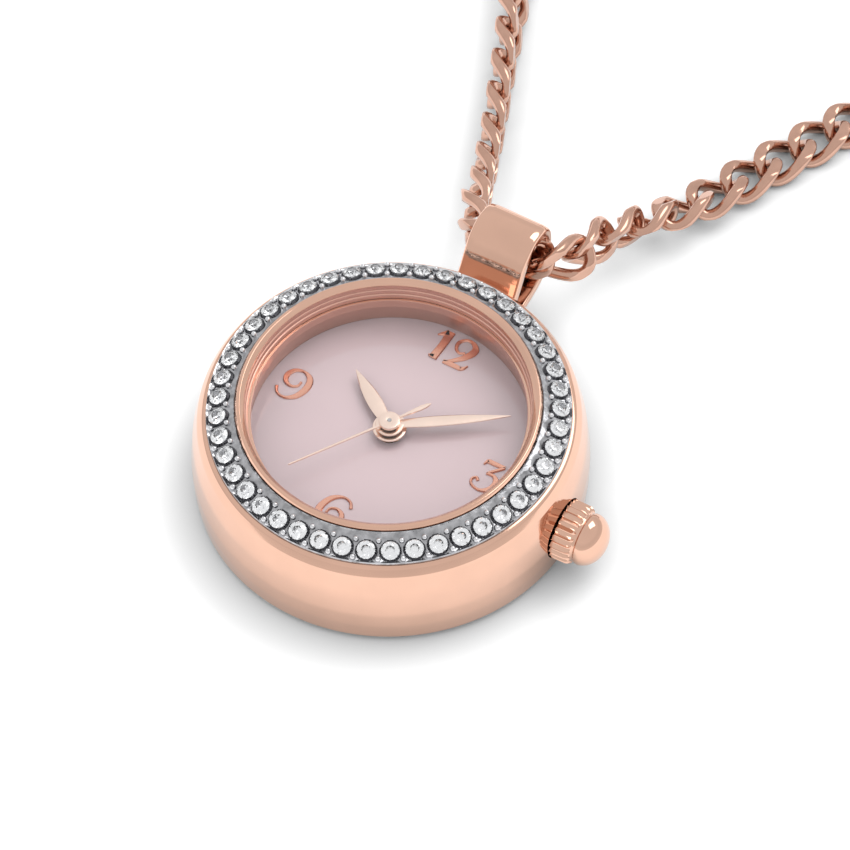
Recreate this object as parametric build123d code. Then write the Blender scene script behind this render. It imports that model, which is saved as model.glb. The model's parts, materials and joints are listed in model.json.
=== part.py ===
from build123d import *
from math import cos, floor, hypot, pi, radians, sin, sqrt
import os

# A quartz pendant watch on a curb chain. Lengths are in millimetres.
# The origin is the centre of the flat case back, +Z leaves the dial,
# +Y points to 12 o'clock and the bail, +X to 3 o'clock and the crown.

os.makedirs("parts", exist_ok=True)

overrun = 1.0                   # how far every cut runs past the face it opens
full_turn = 360
small_sides = 8                 # flats of the movement's small pins, pivots and holes
pipe_sides = 12                 # flats of its pipes

# Case middle: a barrel with a bevelled top edge, open below for the movement
case_r = 15.05
case_widest_z = 3.6
case_foot_r = 14.35
case_foot_z = 0.25
case_foot_chamfer = 0.5
case_shoulder_r = 14.4
case_shoulder_z = 7.95
case_rim_r = 13.9
case_top_z = 8.4
flange_r = 10.35
flange_thick = 0.7
cavity_r = 11.6
back_bore_r = 12.7
back_bore_depth = 0.85

# Crown pocket in the side of the case, measured in from its widest place
case_out_r = max(case_r, case_foot_r + case_foot_chamfer, case_shoulder_r)
crown_z = 3.65
pocket_r = 2.75
pocket_deep = 1.3
pocket_floor_x = case_out_r - pocket_deep

# Case back, snapped into the case over a rubber ring
back_thick = 1.0
back_face_r = 11.35
back_step = 0.32
back_gap = 0.03
gasket_wire = 0.13
gasket_sides = 3
gasket_steps = 36
notch_r = 0.7
notch_bearing = 225

# Stone bezel: a ring with a seat for each stone and a pair of beads between neighbours
bezel_out_r = 13.7
bezel_in_r = 11.62
bezel_out_z = 8.75
bezel_in_z = 9.6
bezel_rim = 0.14
stone_count = 45
stone_r = 0.7
stone_sides = 6
stone_crown = 0.22
stone_table_share = 0.58
stone_pavilion = 0.52
stone_proud = 0.06
groove_gap = 0.02
bead_proud = 0.18
bead_offset = 0.5
ridge_deep = 0.1

# Crystal, its gasket and the polished ring that holds it
ring_out_r = 11.58
ring_in_r = 10.8
ring_top_z = 9.8
ring_chamfer = 0.35
crystal_thick = 1.2
crystal_lift = 0.2
crystal_gap = 0.03

# Dial, the dial ring above it and the raised numerals
dial_z = 5.8
dial_thick = 0.4
dial_gap = 0.2
dial_hole_r = 0.95
dial_ring_in_r = 10.58
dial_foot_r = 0.3
dial_foot_y = 8.5
dial_foot_long = 0.9
numeral_thick = 0.14
numeral_high = 2.6
numeral_centre_r = 8.75
figure_pitch_share = 0.62

# Hands, each pressed on the pipe or arbor of its own wheel
hour_hand_z = 6.42
minute_hand_z = 6.82
second_hand_z = 7.2
hand_thick = 0.14
hour_boss_r = 1.3
minute_boss_r = 1.06
second_boss_r = 0.8
second_boss_high = 0.26
hour_hand_long = 5.9
minute_hand_long = 9.1
second_hand_long = 8.45
second_tail_long = 3.5
hour_hand_wide = 1.1
minute_hand_wide = 0.9
second_hand_wide = 0.2
second_tail_wide = 0.42
hand_root_share = 0.45
hand_widest_share = 0.36
hand_tip_share = 0.1
tail_widest_share = 0.75
hour_angle = 304.7
minute_angle = 56.4
second_angle = 213.5

# Pipes and arbors, one inside the other from the middle out
arbor_r = 0.13
second_arbor_r = 0.16
run_gap = 0.04
centre_pipe_wall = 0.12
cannon_wall = 0.09
hour_pipe_wall = 0.14
pipe_proud = 0.08

# Movement: main plate, spacer ring and train bridge
plate_r = 9.4
plate_sides = 16
plate_top_z = 5.3
plate_low_z = 3.72
plate_gap = 0.04
spacer_low_z = 1.25
recess_z = 4.55
recess_gap = 0.3
bridge_z = 1.3
bridge_thick = 0.32
bridge_edge = 0.8
pivot_deep = 0.3
pivot_gap = 0.03
post_r = 0.45
post_share = [(0.36, -0.2), (-0.46, 0.41), (-0.31, -0.4)]
screw_r = 0.2
screw_long = 1.0
screw_head_r = 0.4
screw_head_high = 0.14
screw_slot = 0.1
wheel_thick = 0.2
tooth_out_share = 0.5
tooth_in_share = 0.65

# Going train: rotor, intermediate wheel, seconds wheel, third wheel, centre wheel
pinion_leaves = 6
intermediate_teeth = 30
seconds_teeth = 36
third_teeth = 45
centre_teeth = 48
train_distance = 3.2
third_bearing = 100
intermediate_distance = 3.15
intermediate_bearing = 200
rotor_distance = 2.34
rotor_bearing = 215
intermediate_z = 1.75
seconds_z = 2.15
third_z = 2.7
centre_z = 3.25
leaf_reach = 0.15
magnet_r = 0.85
magnet_z = 2.65
magnet_high = 0.7

# Motion work under the dial
motion_module = 0.1
cannon_leaves = 10
minute_teeth = 30
minute_leaves = 8
hour_teeth = 32
setting_teeth = 16
motion_z = 4.62
hour_wheel_z = 4.92
stud_r = 0.22

# Motor: stator, coil and its core
stator_gap = 0.2
stator_half = 1.25
stator_z = 2.8
stator_thick = 0.4
core_x = -7.1
core_low_y = -4.7
core_high_y = 3.0
core_wide = 0.9
coil_low_y = -3.6
coil_high_y = 1.8
winding_r = 0.8
cheek_r = 0.92
cheek_thick = 0.3

# Battery and its strap, the circuit board and the quartz can
battery_y = -6.02
battery_r = 2.9
battery_thick = 2.15
battery_cap_r = 2.45
battery_cap_high = 0.45
battery_gap = 0.12
strap_half = 0.7
strap_thick = 0.1
strap_far_x = -0.6
strap_far_y = -7.3
board_thick = 0.25
board_in_r = 5.9
board_out_r = 8.8
board_low_y = -2.3
board_far_x = 3.2
board_gap = 0.15
can_r = 0.7
can_long = 4.6
can_y = 7.25

# Stem, setting lever and stop lever
stem_r = 0.5
stem_inner_x = 4.5
stem_gap = 0.05
stem_pull = 0.9
groove_x = 6.4
groove_wide = 0.46
groove_r = 0.3
bearing_in_x = 4.62
bearing_out_x = 8.15
bearing_long = 0.75
bearing_half = 1.1
bearing_low_z = 2.9
lever_z = 2.5
lever_thick = 0.28
lever_in_x = 5.55
lever_out_x = 7.3
lever_low_y = -3.1
lever_high_y = 2.6
tab_thick = 0.34
tab_half = 0.75
tab_z = 3.95
guide_x = 6.5
guide_y = -2.3
guide_r = 0.26
peg_x = 6.0
peg_y = 2.2
peg_r = 0.2
stop_x = 5.4
stop_y = 3.4
stop_thick = 0.2
stop_tip_x = 2.1
stop_tip_y = 2.95
stop_hub_r = 0.5
stop_tip_r = 0.24
stop_pin_r = 0.2
fork_wall = 0.2
fork_gap = 0.08

# Crown, crown tube and gasket, set out from the floor of the pocket
crown_stand_off = 0.75
crown_inner_x = pocket_floor_x + crown_stand_off
crown_r = 2.35
flute_lead = 0.15
flute_long = 1.75
flute_start_x = crown_inner_x + flute_lead
flute_end_x = flute_start_x + flute_long
crown_waist = 0.4
crown_neck_x = flute_end_x + crown_waist
crown_neck_r = 1.98
dome_r = 2.06
dome_high = 1.7
dome_tip_x = crown_neck_x + dome_high
flute_count = 24
flute_deep = 0.16
land_share = 0.34
crown_recess_r = 1.5
crown_recess_deep = 1.25
crown_recess_end_x = crown_inner_x + crown_recess_deep
tube_r = 0.93
tube_bore_r = 0.57
tube_proud = 0.6
tube_inner_x = cavity_r - tube_proud
tube_end_gap = 0.15
tube_end_x = crown_recess_end_x - tube_end_gap
o_ring_seat = 0.4
o_ring_x = crown_inner_x + o_ring_seat
o_ring_wire = 0.22

# Bail: a band loop soldered to the case at 12 o'clock
bail_wide = 4.9
bail_sunk = 1.45
bail_root_y = case_out_r - bail_sunk
bail_long = 7.5
bail_end_y = bail_root_y + bail_long
bail_foot_z = 2.2
bail_root_top_z = 7.75
bail_ridge_z = 9.35
bail_ridge_in = 1.2
bail_ridge_y = bail_end_y - bail_ridge_in
bail_thick = 0.95
bail_wall_off = 0.3
bail_wall_y = case_out_r + bail_wall_off
bail_round = 1.0
bail_edge = 0.22

# Curb chain. A link's wire goes round at (long, wide) and swings out of plane by the twist.
link_long = 2.26
link_wide = 1.42
link_twist = 1.1
link_wire_r = 0.52
link_flat = 0.95
link_pitch = 3.3
link_steps = 8
link_sides = 5
coil_link_wide = 1.4
coil_link_twist = 0.8
coil_link_steps = 6
coil_link_sides = 3
route_fine = 60                 # places worked out on the route between two of its points
route_order = 3                 # control points that pull on each place of the route

# The two free runs, as points that pull a smooth route: x, y, height and tilt of the link's face.
# Both leave the middle of the bail, where the chain stands on edge against its outer strap.
right_route = [
    (0.0, 18.5, 5.6, 90), (2.8, 18.4, 5.5, 90), (4.15, 20.6, 5.1, 86), (4.9, 24.0, 4.1, 72),
    (6.6, 28.2, 2.7, 48), (8.6, 32.2, 1.75, 24), (10.4, 36.2, 1.25, 8), (12.4, 40.6, 1.05, 0),
    (14.6, 44.8, 1.05, 0), (17.0, 49.4, 1.05, 0), (18.6, 54.6, 1.05, 0), (16.6, 60.2, 1.05, 0),
    (10.6, 64.4, 1.05, 0),
]
left_route = [
    (0.0, 18.5, 5.6, -90), (-2.8, 18.4, 5.5, -90), (-4.5, 20.4, 4.9, -88), (-5.7, 23.8, 3.6, -84),
    (-7.0, 27.4, 2.6, -80), (-8.4, 31.8, 2.35, -75), (-9.8, 36.0, 2.3, -70), (-11.3, 40.3, 2.3, -62),
    (-13.2, 44.9, 2.2, -48), (-15.6, 50.4, 1.85, -28), (-18.4, 56.6, 1.35, -10), (-21.4, 63.4, 1.05, 0),
    (-24.0, 71.0, 1.05, 0),
]
right_tail = [(-9.7, 95.2, 1.05, 0), (-6.2, 98.6, 1.1, 0), (-1.6, 98.8, 1.3, 0), (2.2, 96.2, 1.5, 0)]
chain_z = 1.05                  # height of a link's middle where it lies flat
right_run_links = 21
left_run_links = 18
seen_links = 13

# The rest of the chain, put away as one neat coil of both strands, beyond the runs
coil_x0 = 2.0
coil_y0 = 90.0
coil_start_r = 24.2
coil_inward = 9.4               # how far a strand comes in, in one turn
coil_lane = 4.7                 # from one strand to the other
coil_steps = 16                 # points of the route in one turn
right_coil_start = 270
right_coil_turns = 1.25
left_coil_start = 200
left_coil_turns = 1.0

# Rings at the chain's ends
end_ring_long = 1.9
end_ring_wide = 1.7
end_ring_twist = 1.1
end_ring_wire = 0.42
end_ring_pitch = 2.8
jump_long = 1.9
jump_wide = 1.5
jump_twist = -0.6
jump_wire = 0.38
jump_pitch = 2.9

# Lobster clasp, lying flat, and its lever
eye_pitch = 2.2
eye_r = 1.4
eye_wire = 0.42
eye_steps = 12
clasp_thick = 1.9
clasp_band = 0.95
clasp_neck_x = 2.4
clasp_neck_r = 1.0
clasp_mid_x = 5.9
clasp_mid_r = 2.45
clasp_tip_x = 8.5
clasp_tip_r = 1.9
clasp_mouth_low_x = 3.9
clasp_mouth_high_x = 7.6
clasp_play = 0.1
clasp_swing = 22                # degrees that the lever swings inward
clasp_swing_steps = 3
clasp_pin_r = 0.28
clasp_pin_x = 3.5
clasp_pin_y = 0.95
clasp_lever_high = 0.9
clasp_hub_r = 0.62
catch_low_y = 0.6
thumb_x = 5.3
thumb_y = 2.75
thumb_r = 0.6


def outline(points):
    """a closed run of straight edges"""
    return Polyline(*points, close=True)


def turned(points):
    """a ring or disc about the upright axis, from (radius, height) points of its section"""
    return revolve(make_face(outline([(r, 0, z) for r, z in points])), Axis.Z)


def washer(outer, inner, low, high, x=0, y=0):
    """a disc, or a tube where inner isn't zero, about an upright axis at x, y"""
    face = Circle(outer)
    if inner > 0:
        face -= Circle(inner)
    return Pos(x, y, low) * extrude(face, high - low)


def pin(radius, low, high, x=0, y=0, sides=small_sides):
    """a small upright pin, its corners at the radius"""
    return Pos(x, y, low) * extrude(RegularPolygon(radius, sides), high - low)


def hole(radius, low, high, x=0, y=0, sides=small_sides):
    """the room for a pin of the radius, its flats at the radius"""
    return pin(radius / cos(pi / sides), low, high, x, y, sides)


def pipe(outer, inner, low, high):
    """a tube round the middle arbor"""
    return pin(outer, low, high, sides=pipe_sides) - hole(inner, low, high, sides=pipe_sides)


def bar_x(radius, start_x, end_x, z=crown_z):
    """a round bar along X"""
    return Pos(start_x, 0, z) * Rot(0, 90, 0) * extrude(Circle(radius), end_x - start_x)


def block(low, high):
    """a box between two corners"""
    size = [b - a for a, b in zip(low, high)]
    middle = [(a + b) / 2 for a, b in zip(low, high)]
    return Pos(*middle) * Box(*size)


def hull(places):
    """the flat shape drawn tight round a few circles (x, y, radius)"""
    discs = Sketch() + [Pos(x, y) * Circle(r) for x, y, r in places]
    return make_hull(discs.edges())


def strip(places, low, high):
    """a flat piece of even height round a few circles"""
    return Pos(0, 0, low) * extrude(hull(places), high - low)


def polar(radius, bearing):
    return radius * cos(radians(bearing)), radius * sin(radians(bearing))


def regular(radius, sides):
    """the corners of a regular outline, its flats at the radius"""
    corner = radius / cos(pi / sides)
    return [polar(corner, full_turn * (k + 1 / 2) / sides) for k in range(sides)]


def faceted(facets):
    """a solid from the corners of its flat facets"""
    faces = [Face(Wire.make_polygon([Vector(*p) for p in corners])) for corners in facets]
    solid = Solid(Shell(faces))
    return solid if solid.volume > 0 else Solid(Shell([-f for f in faces]))


def skinned(rings, closed=False):
    """a solid with flat facets between rings of points; an open one has a facet at each end"""
    facets = []
    count = len(rings[0])
    bands = len(rings) if closed else len(rings) - 1
    for i in range(bands):
        near, far = rings[i], rings[(i + 1) % len(rings)]
        for j in range(count):
            k = (j + 1) % count
            facets.append((near[j], near[k], far[k]))
            facets.append((near[j], far[k], far[j]))
    if not closed:
        facets.append(rings[0])
        facets.append(rings[-1])
    return faceted(facets)


def wire_loop(half_long, half_wide, twist, wire_r, sides, steps, flat=None):
    """one closed link: an oval of wire whose ends swing out of plane, filed flat on both faces"""
    rings = []
    spread = 1 / cos(pi / steps)
    for i in range(steps):
        t = 2 * pi * (i + 1 / 2) / steps
        middle = Vector(half_long * spread * cos(t), half_wide * spread * sin(t), twist * sin(2 * t))
        ahead = Vector(-half_long * sin(t), half_wide * cos(t), twist * cos(2 * t)).normalized()
        outward = Vector(cos(t) / half_long, sin(t) / half_wide, 0)
        outward = (outward - ahead * outward.dot(ahead)).normalized()
        across = ahead.cross(outward)
        ring = []
        for j in range(sides):
            turn = 2 * pi * j / sides
            p = middle + outward * (wire_r * cos(turn)) + across * (wire_r * sin(turn))
            ring.append((p.X, p.Y, p.Z if flat is None else max(-flat, min(flat, p.Z))))
        rings.append(ring)
    return skinned(rings, closed=True)


def gear(teeth, pitch_r, low, high, at, toward, bore=0, tooth_there=True):
    """a wheel with pointed teeth; a tooth, or else a gap, lies on the bearing toward its partner"""
    module = 2 * pitch_r / teeth
    step = full_turn / teeth
    first = toward if tooth_there else toward + step / 2
    points = []
    for k in range(teeth):
        points.append(polar(pitch_r + tooth_out_share * module, first + k * step))
        points.append(polar(pitch_r - tooth_in_share * module, first + (k + 1 / 2) * step))
    wheel = Pos(at[0], at[1], low) * extrude(make_face(outline(points)), high - low)
    return wheel - hole(bore, low, high, *at, sides=pipe_sides) if bore > 0 else wheel


def save(name, *shapes):
    """write one node, as one solid or as a group of separate solids"""
    solids = [s for shape in shapes for s in shape.solids()]
    export_step(solids[0] if len(solids) == 1 else Compound(children=solids), f"parts/{name}.step")


# Case middle
def barrel():
    """the outside of the case, filled"""
    return turned([
        (0, case_foot_z), (case_foot_r, case_foot_z),
        (case_foot_r + case_foot_chamfer, case_foot_z + case_foot_chamfer),
        (case_r, case_widest_z), (case_shoulder_r, case_shoulder_z),
        (case_rim_r, case_top_z), (0, case_top_z)])


flange_low_z = case_top_z - flange_thick
back_seat_z = case_foot_z + back_bore_depth
case_body = barrel()
case_body -= washer(flange_r, 0, case_foot_z - overrun, case_top_z + overrun)
case_body -= washer(cavity_r, 0, case_foot_z - overrun, flange_low_z)
case_body -= washer(back_bore_r, 0, case_foot_z - overrun, back_seat_z)
case_body -= bar_x(pocket_r, pocket_floor_x, case_out_r + overrun)
case_body -= bar_x(tube_r, 0, case_out_r)
save("case_middle", case_body)


# Bail
def bail_body():
    profile = [(bail_root_y, bail_foot_z), (bail_end_y, bail_foot_z), (bail_end_y, bail_ridge_z),
               (bail_ridge_y, bail_ridge_z), (bail_root_y, bail_root_top_z)]
    face = make_face(outline([(0, y, z) for y, z in profile]))
    body = extrude(face, bail_wide / 2, dir=(1, 0, 0), both=True)
    end = body.edges().filter_by(Axis.X).filter_by(lambda e: e.center().Y > bail_ridge_y + bail_edge)
    body = fillet(end, bail_round)
    slope = (bail_ridge_z - bail_root_top_z) / (bail_ridge_y - bail_root_y)
    low = bail_foot_z + bail_thick
    far = bail_end_y - bail_thick
    roof = bail_ridge_z - bail_thick
    ridge = bail_ridge_y - bail_thick
    roof_wall = roof - slope * (ridge - bail_wall_y)
    hole = [(bail_wall_y, low), (far, low), (far, roof), (ridge, roof), (bail_wall_y, roof_wall)]
    window = extrude(make_face(outline([(0, y, z) for y, z in hole])), bail_wide, dir=(1, 0, 0), both=True)
    corners = window.edges().filter_by(Axis.X).filter_by(lambda e: abs(e.center().Y - far) < bail_edge)
    body -= fillet(corners, bail_thick / 2)
    sides = body.faces().sort_by(Axis.X)
    body = chamfer(sides[0].edges() + sides[-1].edges(), bail_edge)
    return body - barrel()


save("bail", bail_body())


# Case back and its gasket
back_out_r = back_bore_r - back_gap
plug_r = cavity_r - gasket_wire
gasket_z = back_seat_z - gasket_wire
flange_up_z = gasket_z - gasket_wire
gasket_r = back_out_r - 2 * gasket_wire - back_gap
back = turned([
    (0, 0), (back_face_r, 0), (back_out_r, back_step), (back_out_r, flange_up_z),
    (plug_r, flange_up_z), (plug_r, back_thick), (0, back_thick)])
back -= washer(notch_r, 0, -overrun, flange_up_z - gasket_wire, *polar(back_out_r, notch_bearing))
save("case_back", back)
save("case_back_gasket", Pos(0, 0, gasket_z) * wire_loop(
    gasket_r, gasket_r, 0, gasket_wire, gasket_sides, gasket_steps))


# Crystal ring, crystal and its gasket
save("crystal_ring", turned([
    (ring_in_r, case_top_z), (ring_out_r, case_top_z), (ring_out_r, ring_top_z - ring_chamfer),
    (ring_out_r - ring_chamfer, ring_top_z), (ring_in_r, ring_top_z)]))
crystal_r = ring_in_r - crystal_gap
crystal_z = case_top_z + crystal_lift
crystal_gasket_wire = crystal_lift / 2
crystal_gasket_r = crystal_r - crystal_gasket_wire - crystal_gap
save("crystal", washer(crystal_r, 0, crystal_z, crystal_z + crystal_thick))
save("crystal_gasket", Pos(0, 0, case_top_z + crystal_gasket_wire) * wire_loop(
    crystal_gasket_r, crystal_gasket_r, 0, crystal_gasket_wire, gasket_sides, gasket_steps))


# Stone bezel. The stones sit on the slope between its rims, in seats cut to their cones.
slope_r = bezel_in_r - (bezel_out_r - bezel_rim)
slope_z = bezel_in_z - bezel_out_z
slope_long = hypot(slope_r, slope_z)
along_r, along_z = slope_r / slope_long, slope_z / slope_long
stone_ring_r = bezel_in_r - slope_r / 2
stone_z = bezel_in_z - slope_z / 2


def on_slope(along, out):
    """radius and height of a place on the bezel, from a stone's middle: up the slope, and out of it"""
    return stone_ring_r + along * along_r + out * along_z, stone_z + along * along_z - out * along_r


def on_bezel(bearing, along, out):
    """the frame at a stone's bearing whose z stands square to the slope"""
    r, z = on_slope(along, out)
    x, y = polar(r, bearing)
    out_x, out_y = polar(along_z, bearing)
    side_x, side_y = polar(1, bearing + full_turn / 4)
    return Plane(origin=(x, y, z), x_dir=(side_x, side_y, 0), z_dir=(out_x, out_y, -along_r)).location


groove_half = stone_r + groove_gap
stone_step = full_turn / stone_count


def bezel_section(bearing, deep, half, proud):
    """the bezel's section at a bearing: its walls, and a groove between two humps on the slope"""
    walls = [(bezel_in_r, case_top_z), (bezel_out_r, case_top_z), (bezel_out_r, bezel_out_z)]
    slope = [on_slope(-half, proud), on_slope(0, -deep), on_slope(half, proud)]
    return [(*polar(r, bearing), z) for r, z in walls + slope + [(bezel_in_r, bezel_in_z)]]


sections = []
for k in range(stone_count):
    sections.append(bezel_section(stone_step * k, stone_pavilion + groove_gap, groove_half, 0))
    sections.append(bezel_section(stone_step * (k + 1 / 2), ridge_deep, bead_offset, bead_proud))
save("stone_bezel", skinned(sections, closed=True))


def cut_stone():
    """a stone about its own axis: flat table, facets of the crown, and a cone of facets below"""
    girdle = [(*polar(stone_r, full_turn * j / stone_sides), 0) for j in range(stone_sides)]
    table = [(*polar(stone_r * stone_table_share, full_turn * j / stone_sides), stone_crown)
             for j in range(stone_sides)]
    facets = [table]
    for j in range(stone_sides):
        k = (j + 1) % stone_sides
        facets.append((girdle[j], girdle[k], table[k], table[j]))
        facets.append((girdle[k], girdle[j], (0, 0, -stone_pavilion)))
    return faceted(facets)


stone = cut_stone()
save("bezel_stones", *[on_bezel(stone_step * k, 0, stone_proud) * stone for k in range(stone_count)])


# Dial and dial ring
dial_low_z = dial_z - dial_thick
dial_r = cavity_r - dial_gap
dial_foot_z = dial_low_z - dial_foot_long
dial = washer(dial_r, dial_hole_r, dial_low_z, dial_z)
for side in (-1, 1):
    dial += pin(dial_foot_r, dial_foot_z, dial_low_z, 0, side * dial_foot_y)
save("dial", dial)
save("dial_ring", washer(cavity_r - plate_gap, dial_ring_in_r, dial_z, flange_low_z))

# Raised numerals. A stroke is a run of (across, up, width), in shares of the figure's height.
curl_share = [(.13, .66, .05), (.1, .5, .05), (-.08, .42, .06), (-.28, .52, .1), (-.33, .73, .12), (-.2, .94, .08),
              (.05, 1, .06), (.29, .86, .13), (.36, .56, .15), (.24, .2, .12), (-.02, .01, .06), (-.28, .05, .05),
              (-.41, .24, .07)]
figure_share = {
    "1": [[(-.26, .76, .02), (-.14, .86, .09), (0, .95, .16)], [(.03, 1, .2), (.03, .5, .17), (-.01, 0, .19)],
          [(-.16, .06, .02), (-.08, .06, .08), (0, .07, .1)]],
    "2": [[(.1, .56, .05), (-.06, .5, .05), (-.2, .6, .07), (-.23, .8, .08), (-.06, .98, .06), (.18, .94, .1),
           (.3, .74, .16), (.16, .44, .13), (-.08, .2, .08), (-.31, .04, .04)],
          [(-.31, .05, .09), (-.05, .06, .11), (.24, .05, .1)], [(.22, .05, .1), (.3, .1, .07), (.37, .22, .03)]],
    "3": [[(-.27, .8, .03), (-.24, .9, .06), (-.2, .95, .1)], [(-.22, .95, .1), (.05, .95, .1), (.3, .96, .07)],
          [(.3, .95, .06), (.12, .76, .07), (-.06, .57, .05)],
          [(-.06, .57, .05), (.16, .58, .07), (.32, .4, .14), (.26, .14, .13), (.02, 0, .06), (-.24, .06, .05),
           (-.33, .22, .05), (-.24, .33, .05), (-.15, .25, .06)]],
    "6": [[(-x, 1 - y, w) for x, y, w in curl_share]],
    "9": [curl_share],
}


ease_share = (-1 / 16, 9 / 16, 9 / 16, -1 / 16)


def eased(run):
    """the points of a run, and one between each two on a smooth curve through them"""
    out = []
    for i in range(len(run) - 1):
        around = [run[max(min(i + m, len(run) - 1), 0)] for m in (-1, 0, 1, 2)]
        out.append(run[i])
        out.append(tuple(sum(c * w for c, w in zip(axis, ease_share)) for axis in zip(*around)))
    return out + [run[-1]]


def stroke(run, size):
    """the face of one stroke: a band of changing width along its points"""
    run = eased(run) if len(run) > 3 else run
    left, right = [], []
    for i, (x, y, w) in enumerate(run):
        x0, y0, _ = run[max(i - 1, 0)]
        x1, y1, _ = run[min(i + 1, len(run) - 1)]
        long = hypot(x1 - x0, y1 - y0)
        side_x, side_y = (y0 - y1) / long * w / 2, (x1 - x0) / long * w / 2
        left.append(((x + side_x) * size, (y + side_y) * size))
        right.append(((x - side_x) * size, (y - side_y) * size))
    return make_face(outline(left + right[::-1]))


def figure(text, size):
    """the flat shape of a number, about its own middle"""
    face = Sketch()
    for i, digit in enumerate(text):
        shift = (i - (len(text) - 1) / 2) * size * figure_pitch_share
        for run in figure_share[digit]:
            face += Pos(shift, -size / 2) * stroke(run, size)
    return face


numerals = []
for hour in (3, 6, 9, 12):
    x, y = polar(numeral_centre_r, full_turn / 4 - hour * full_turn / 12)
    numerals.append(Pos(x, y, dial_z) * extrude(figure(str(hour), numeral_high), numeral_thick))
save("dial_numerals", *numerals)


# Pipes: radii from the middle out
centre_pipe_in = second_arbor_r + run_gap
centre_pipe_out = centre_pipe_in + centre_pipe_wall
cannon_in = centre_pipe_out + run_gap / 2
cannon_out = cannon_in + cannon_wall
hour_pipe_in = cannon_out + run_gap
hour_pipe_out = hour_pipe_in + hour_pipe_wall


# Hands
def leaf(points):
    """a flat shape with an arc through its three points, mirrored about Y"""
    other = [(-x, y) for x, y in points]
    return make_face([ThreePointArc(*points), Line(points[-1], other[-1]), ThreePointArc(*other),
                      Line(other[0], points[0])])


def blade(reach, wide, boss_r, bore_r):
    """a leaf-shaped hand pointing along +Y"""
    root = (wide * hand_root_share / 2, boss_r * cos(pi / 6))
    widest = (wide / 2, reach * hand_widest_share)
    tip = (wide * hand_tip_share / 2, reach)
    face = leaf([root, widest, tip]) + Circle(boss_r)
    return face - RegularPolygon(bore_r / cos(pi / pipe_sides), pipe_sides)


def hand(face, low, angle):
    return Pos(0, 0, low) * Rot(0, 0, -angle) * extrude(face, hand_thick)


save("hour_hand", hand(blade(hour_hand_long, hour_hand_wide, hour_boss_r, hour_pipe_out),
                       hour_hand_z, hour_angle))
save("minute_hand", hand(blade(minute_hand_long, minute_hand_wide, minute_boss_r, cannon_out),
                         minute_hand_z, minute_angle))
second_half = second_hand_wide / 2
needle = make_face(outline([
    (-second_half, 0), (second_half, 0), (second_half / 2, second_hand_long),
    (-second_half / 2, second_hand_long)]))
tail = leaf([(second_half, -second_boss_r / 2), (second_tail_wide / 2, -second_tail_long * tail_widest_share),
             (second_half / 2, -second_tail_long)])
second_top_z = second_hand_z + second_boss_high
second_hand = hand(needle + tail, second_hand_z, second_angle) + washer(
    second_boss_r, 0, second_hand_z, second_top_z)
save("seconds_hand", second_hand - hole(second_arbor_r, second_hand_z, second_top_z))


# Places of the train's arbors, and the pitch radii of its wheels
def pair(distance, driver, follower):
    """pitch radii of two meshed wheels"""
    return distance * driver / (driver + follower), distance * follower / (driver + follower)


def wheel_top(low):
    return low + wheel_thick


def facing(bearing):
    """the bearing of the other side"""
    return bearing + full_turn / 2


centre_at = (0, 0)
third_at = polar(train_distance, third_bearing)
intermediate_at = polar(intermediate_distance, intermediate_bearing)
rotor_step = polar(rotor_distance, rotor_bearing)
rotor_at = (intermediate_at[0] + rotor_step[0], intermediate_at[1] + rotor_step[1])
minute_at = (motion_module * (minute_teeth + cannon_leaves) / 2, 0)
setting_at = (minute_at[0] + motion_module * (minute_teeth + setting_teeth) / 2, 0)
bridge_top_z = bridge_z + bridge_thick
rotor_leaf_r, intermediate_r = pair(rotor_distance, pinion_leaves, intermediate_teeth)
intermediate_leaf_r, seconds_r = pair(intermediate_distance, pinion_leaves, seconds_teeth)
seconds_leaf_r, third_r = pair(train_distance, pinion_leaves, third_teeth)
third_leaf_r, centre_r = pair(train_distance, pinion_leaves, centre_teeth)


def pinion(radius, low, high, at, toward):
    """the leaves on an arbor, with a gap toward the wheel that they drive"""
    return gear(pinion_leaves, radius, low, high, at, toward, tooth_there=False)


def arbor(at):
    """the arbor of a train wheel, with a pivot in the bridge and one in the main plate"""
    return washer(arbor_r, 0, bridge_z + pivot_gap, plate_low_z + pivot_deep - pivot_gap, *at)


# Going train
rotor = arbor(rotor_at) + washer(magnet_r, 0, magnet_z, magnet_z + magnet_high, *rotor_at)
save("rotor", rotor + pinion(rotor_leaf_r, intermediate_z - leaf_reach / 2,
                             wheel_top(intermediate_z) + leaf_reach / 2, rotor_at, facing(rotor_bearing)))
intermediate = arbor(intermediate_at) + gear(
    intermediate_teeth, intermediate_r, intermediate_z, wheel_top(intermediate_z), intermediate_at, rotor_bearing)
save("intermediate_wheel", intermediate + pinion(
    intermediate_leaf_r, wheel_top(intermediate_z), wheel_top(seconds_z) + leaf_reach, intermediate_at,
    facing(intermediate_bearing)))
seconds = pin(second_arbor_r, bridge_z + pivot_gap, second_top_z)
seconds += gear(seconds_teeth, seconds_r, seconds_z, wheel_top(seconds_z), centre_at, intermediate_bearing)
save("seconds_wheel", seconds + pinion(
    seconds_leaf_r, wheel_top(seconds_z), wheel_top(third_z) + leaf_reach, centre_at, third_bearing))
third = arbor(third_at) + gear(
    third_teeth, third_r, third_z, wheel_top(third_z), third_at, facing(third_bearing))
save("third_wheel", third + pinion(
    third_leaf_r, wheel_top(third_z), wheel_top(centre_z) + leaf_reach, third_at, facing(third_bearing)))
minute_top_z = minute_hand_z + hand_thick
centre = gear(centre_teeth, centre_r, centre_z, wheel_top(centre_z), centre_at, third_bearing, centre_pipe_in)
save("centre_wheel", centre + pipe(centre_pipe_out, centre_pipe_in, centre_z, minute_top_z))


# Motion work
def pitch_of(teeth):
    return motion_module * teeth / 2


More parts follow.
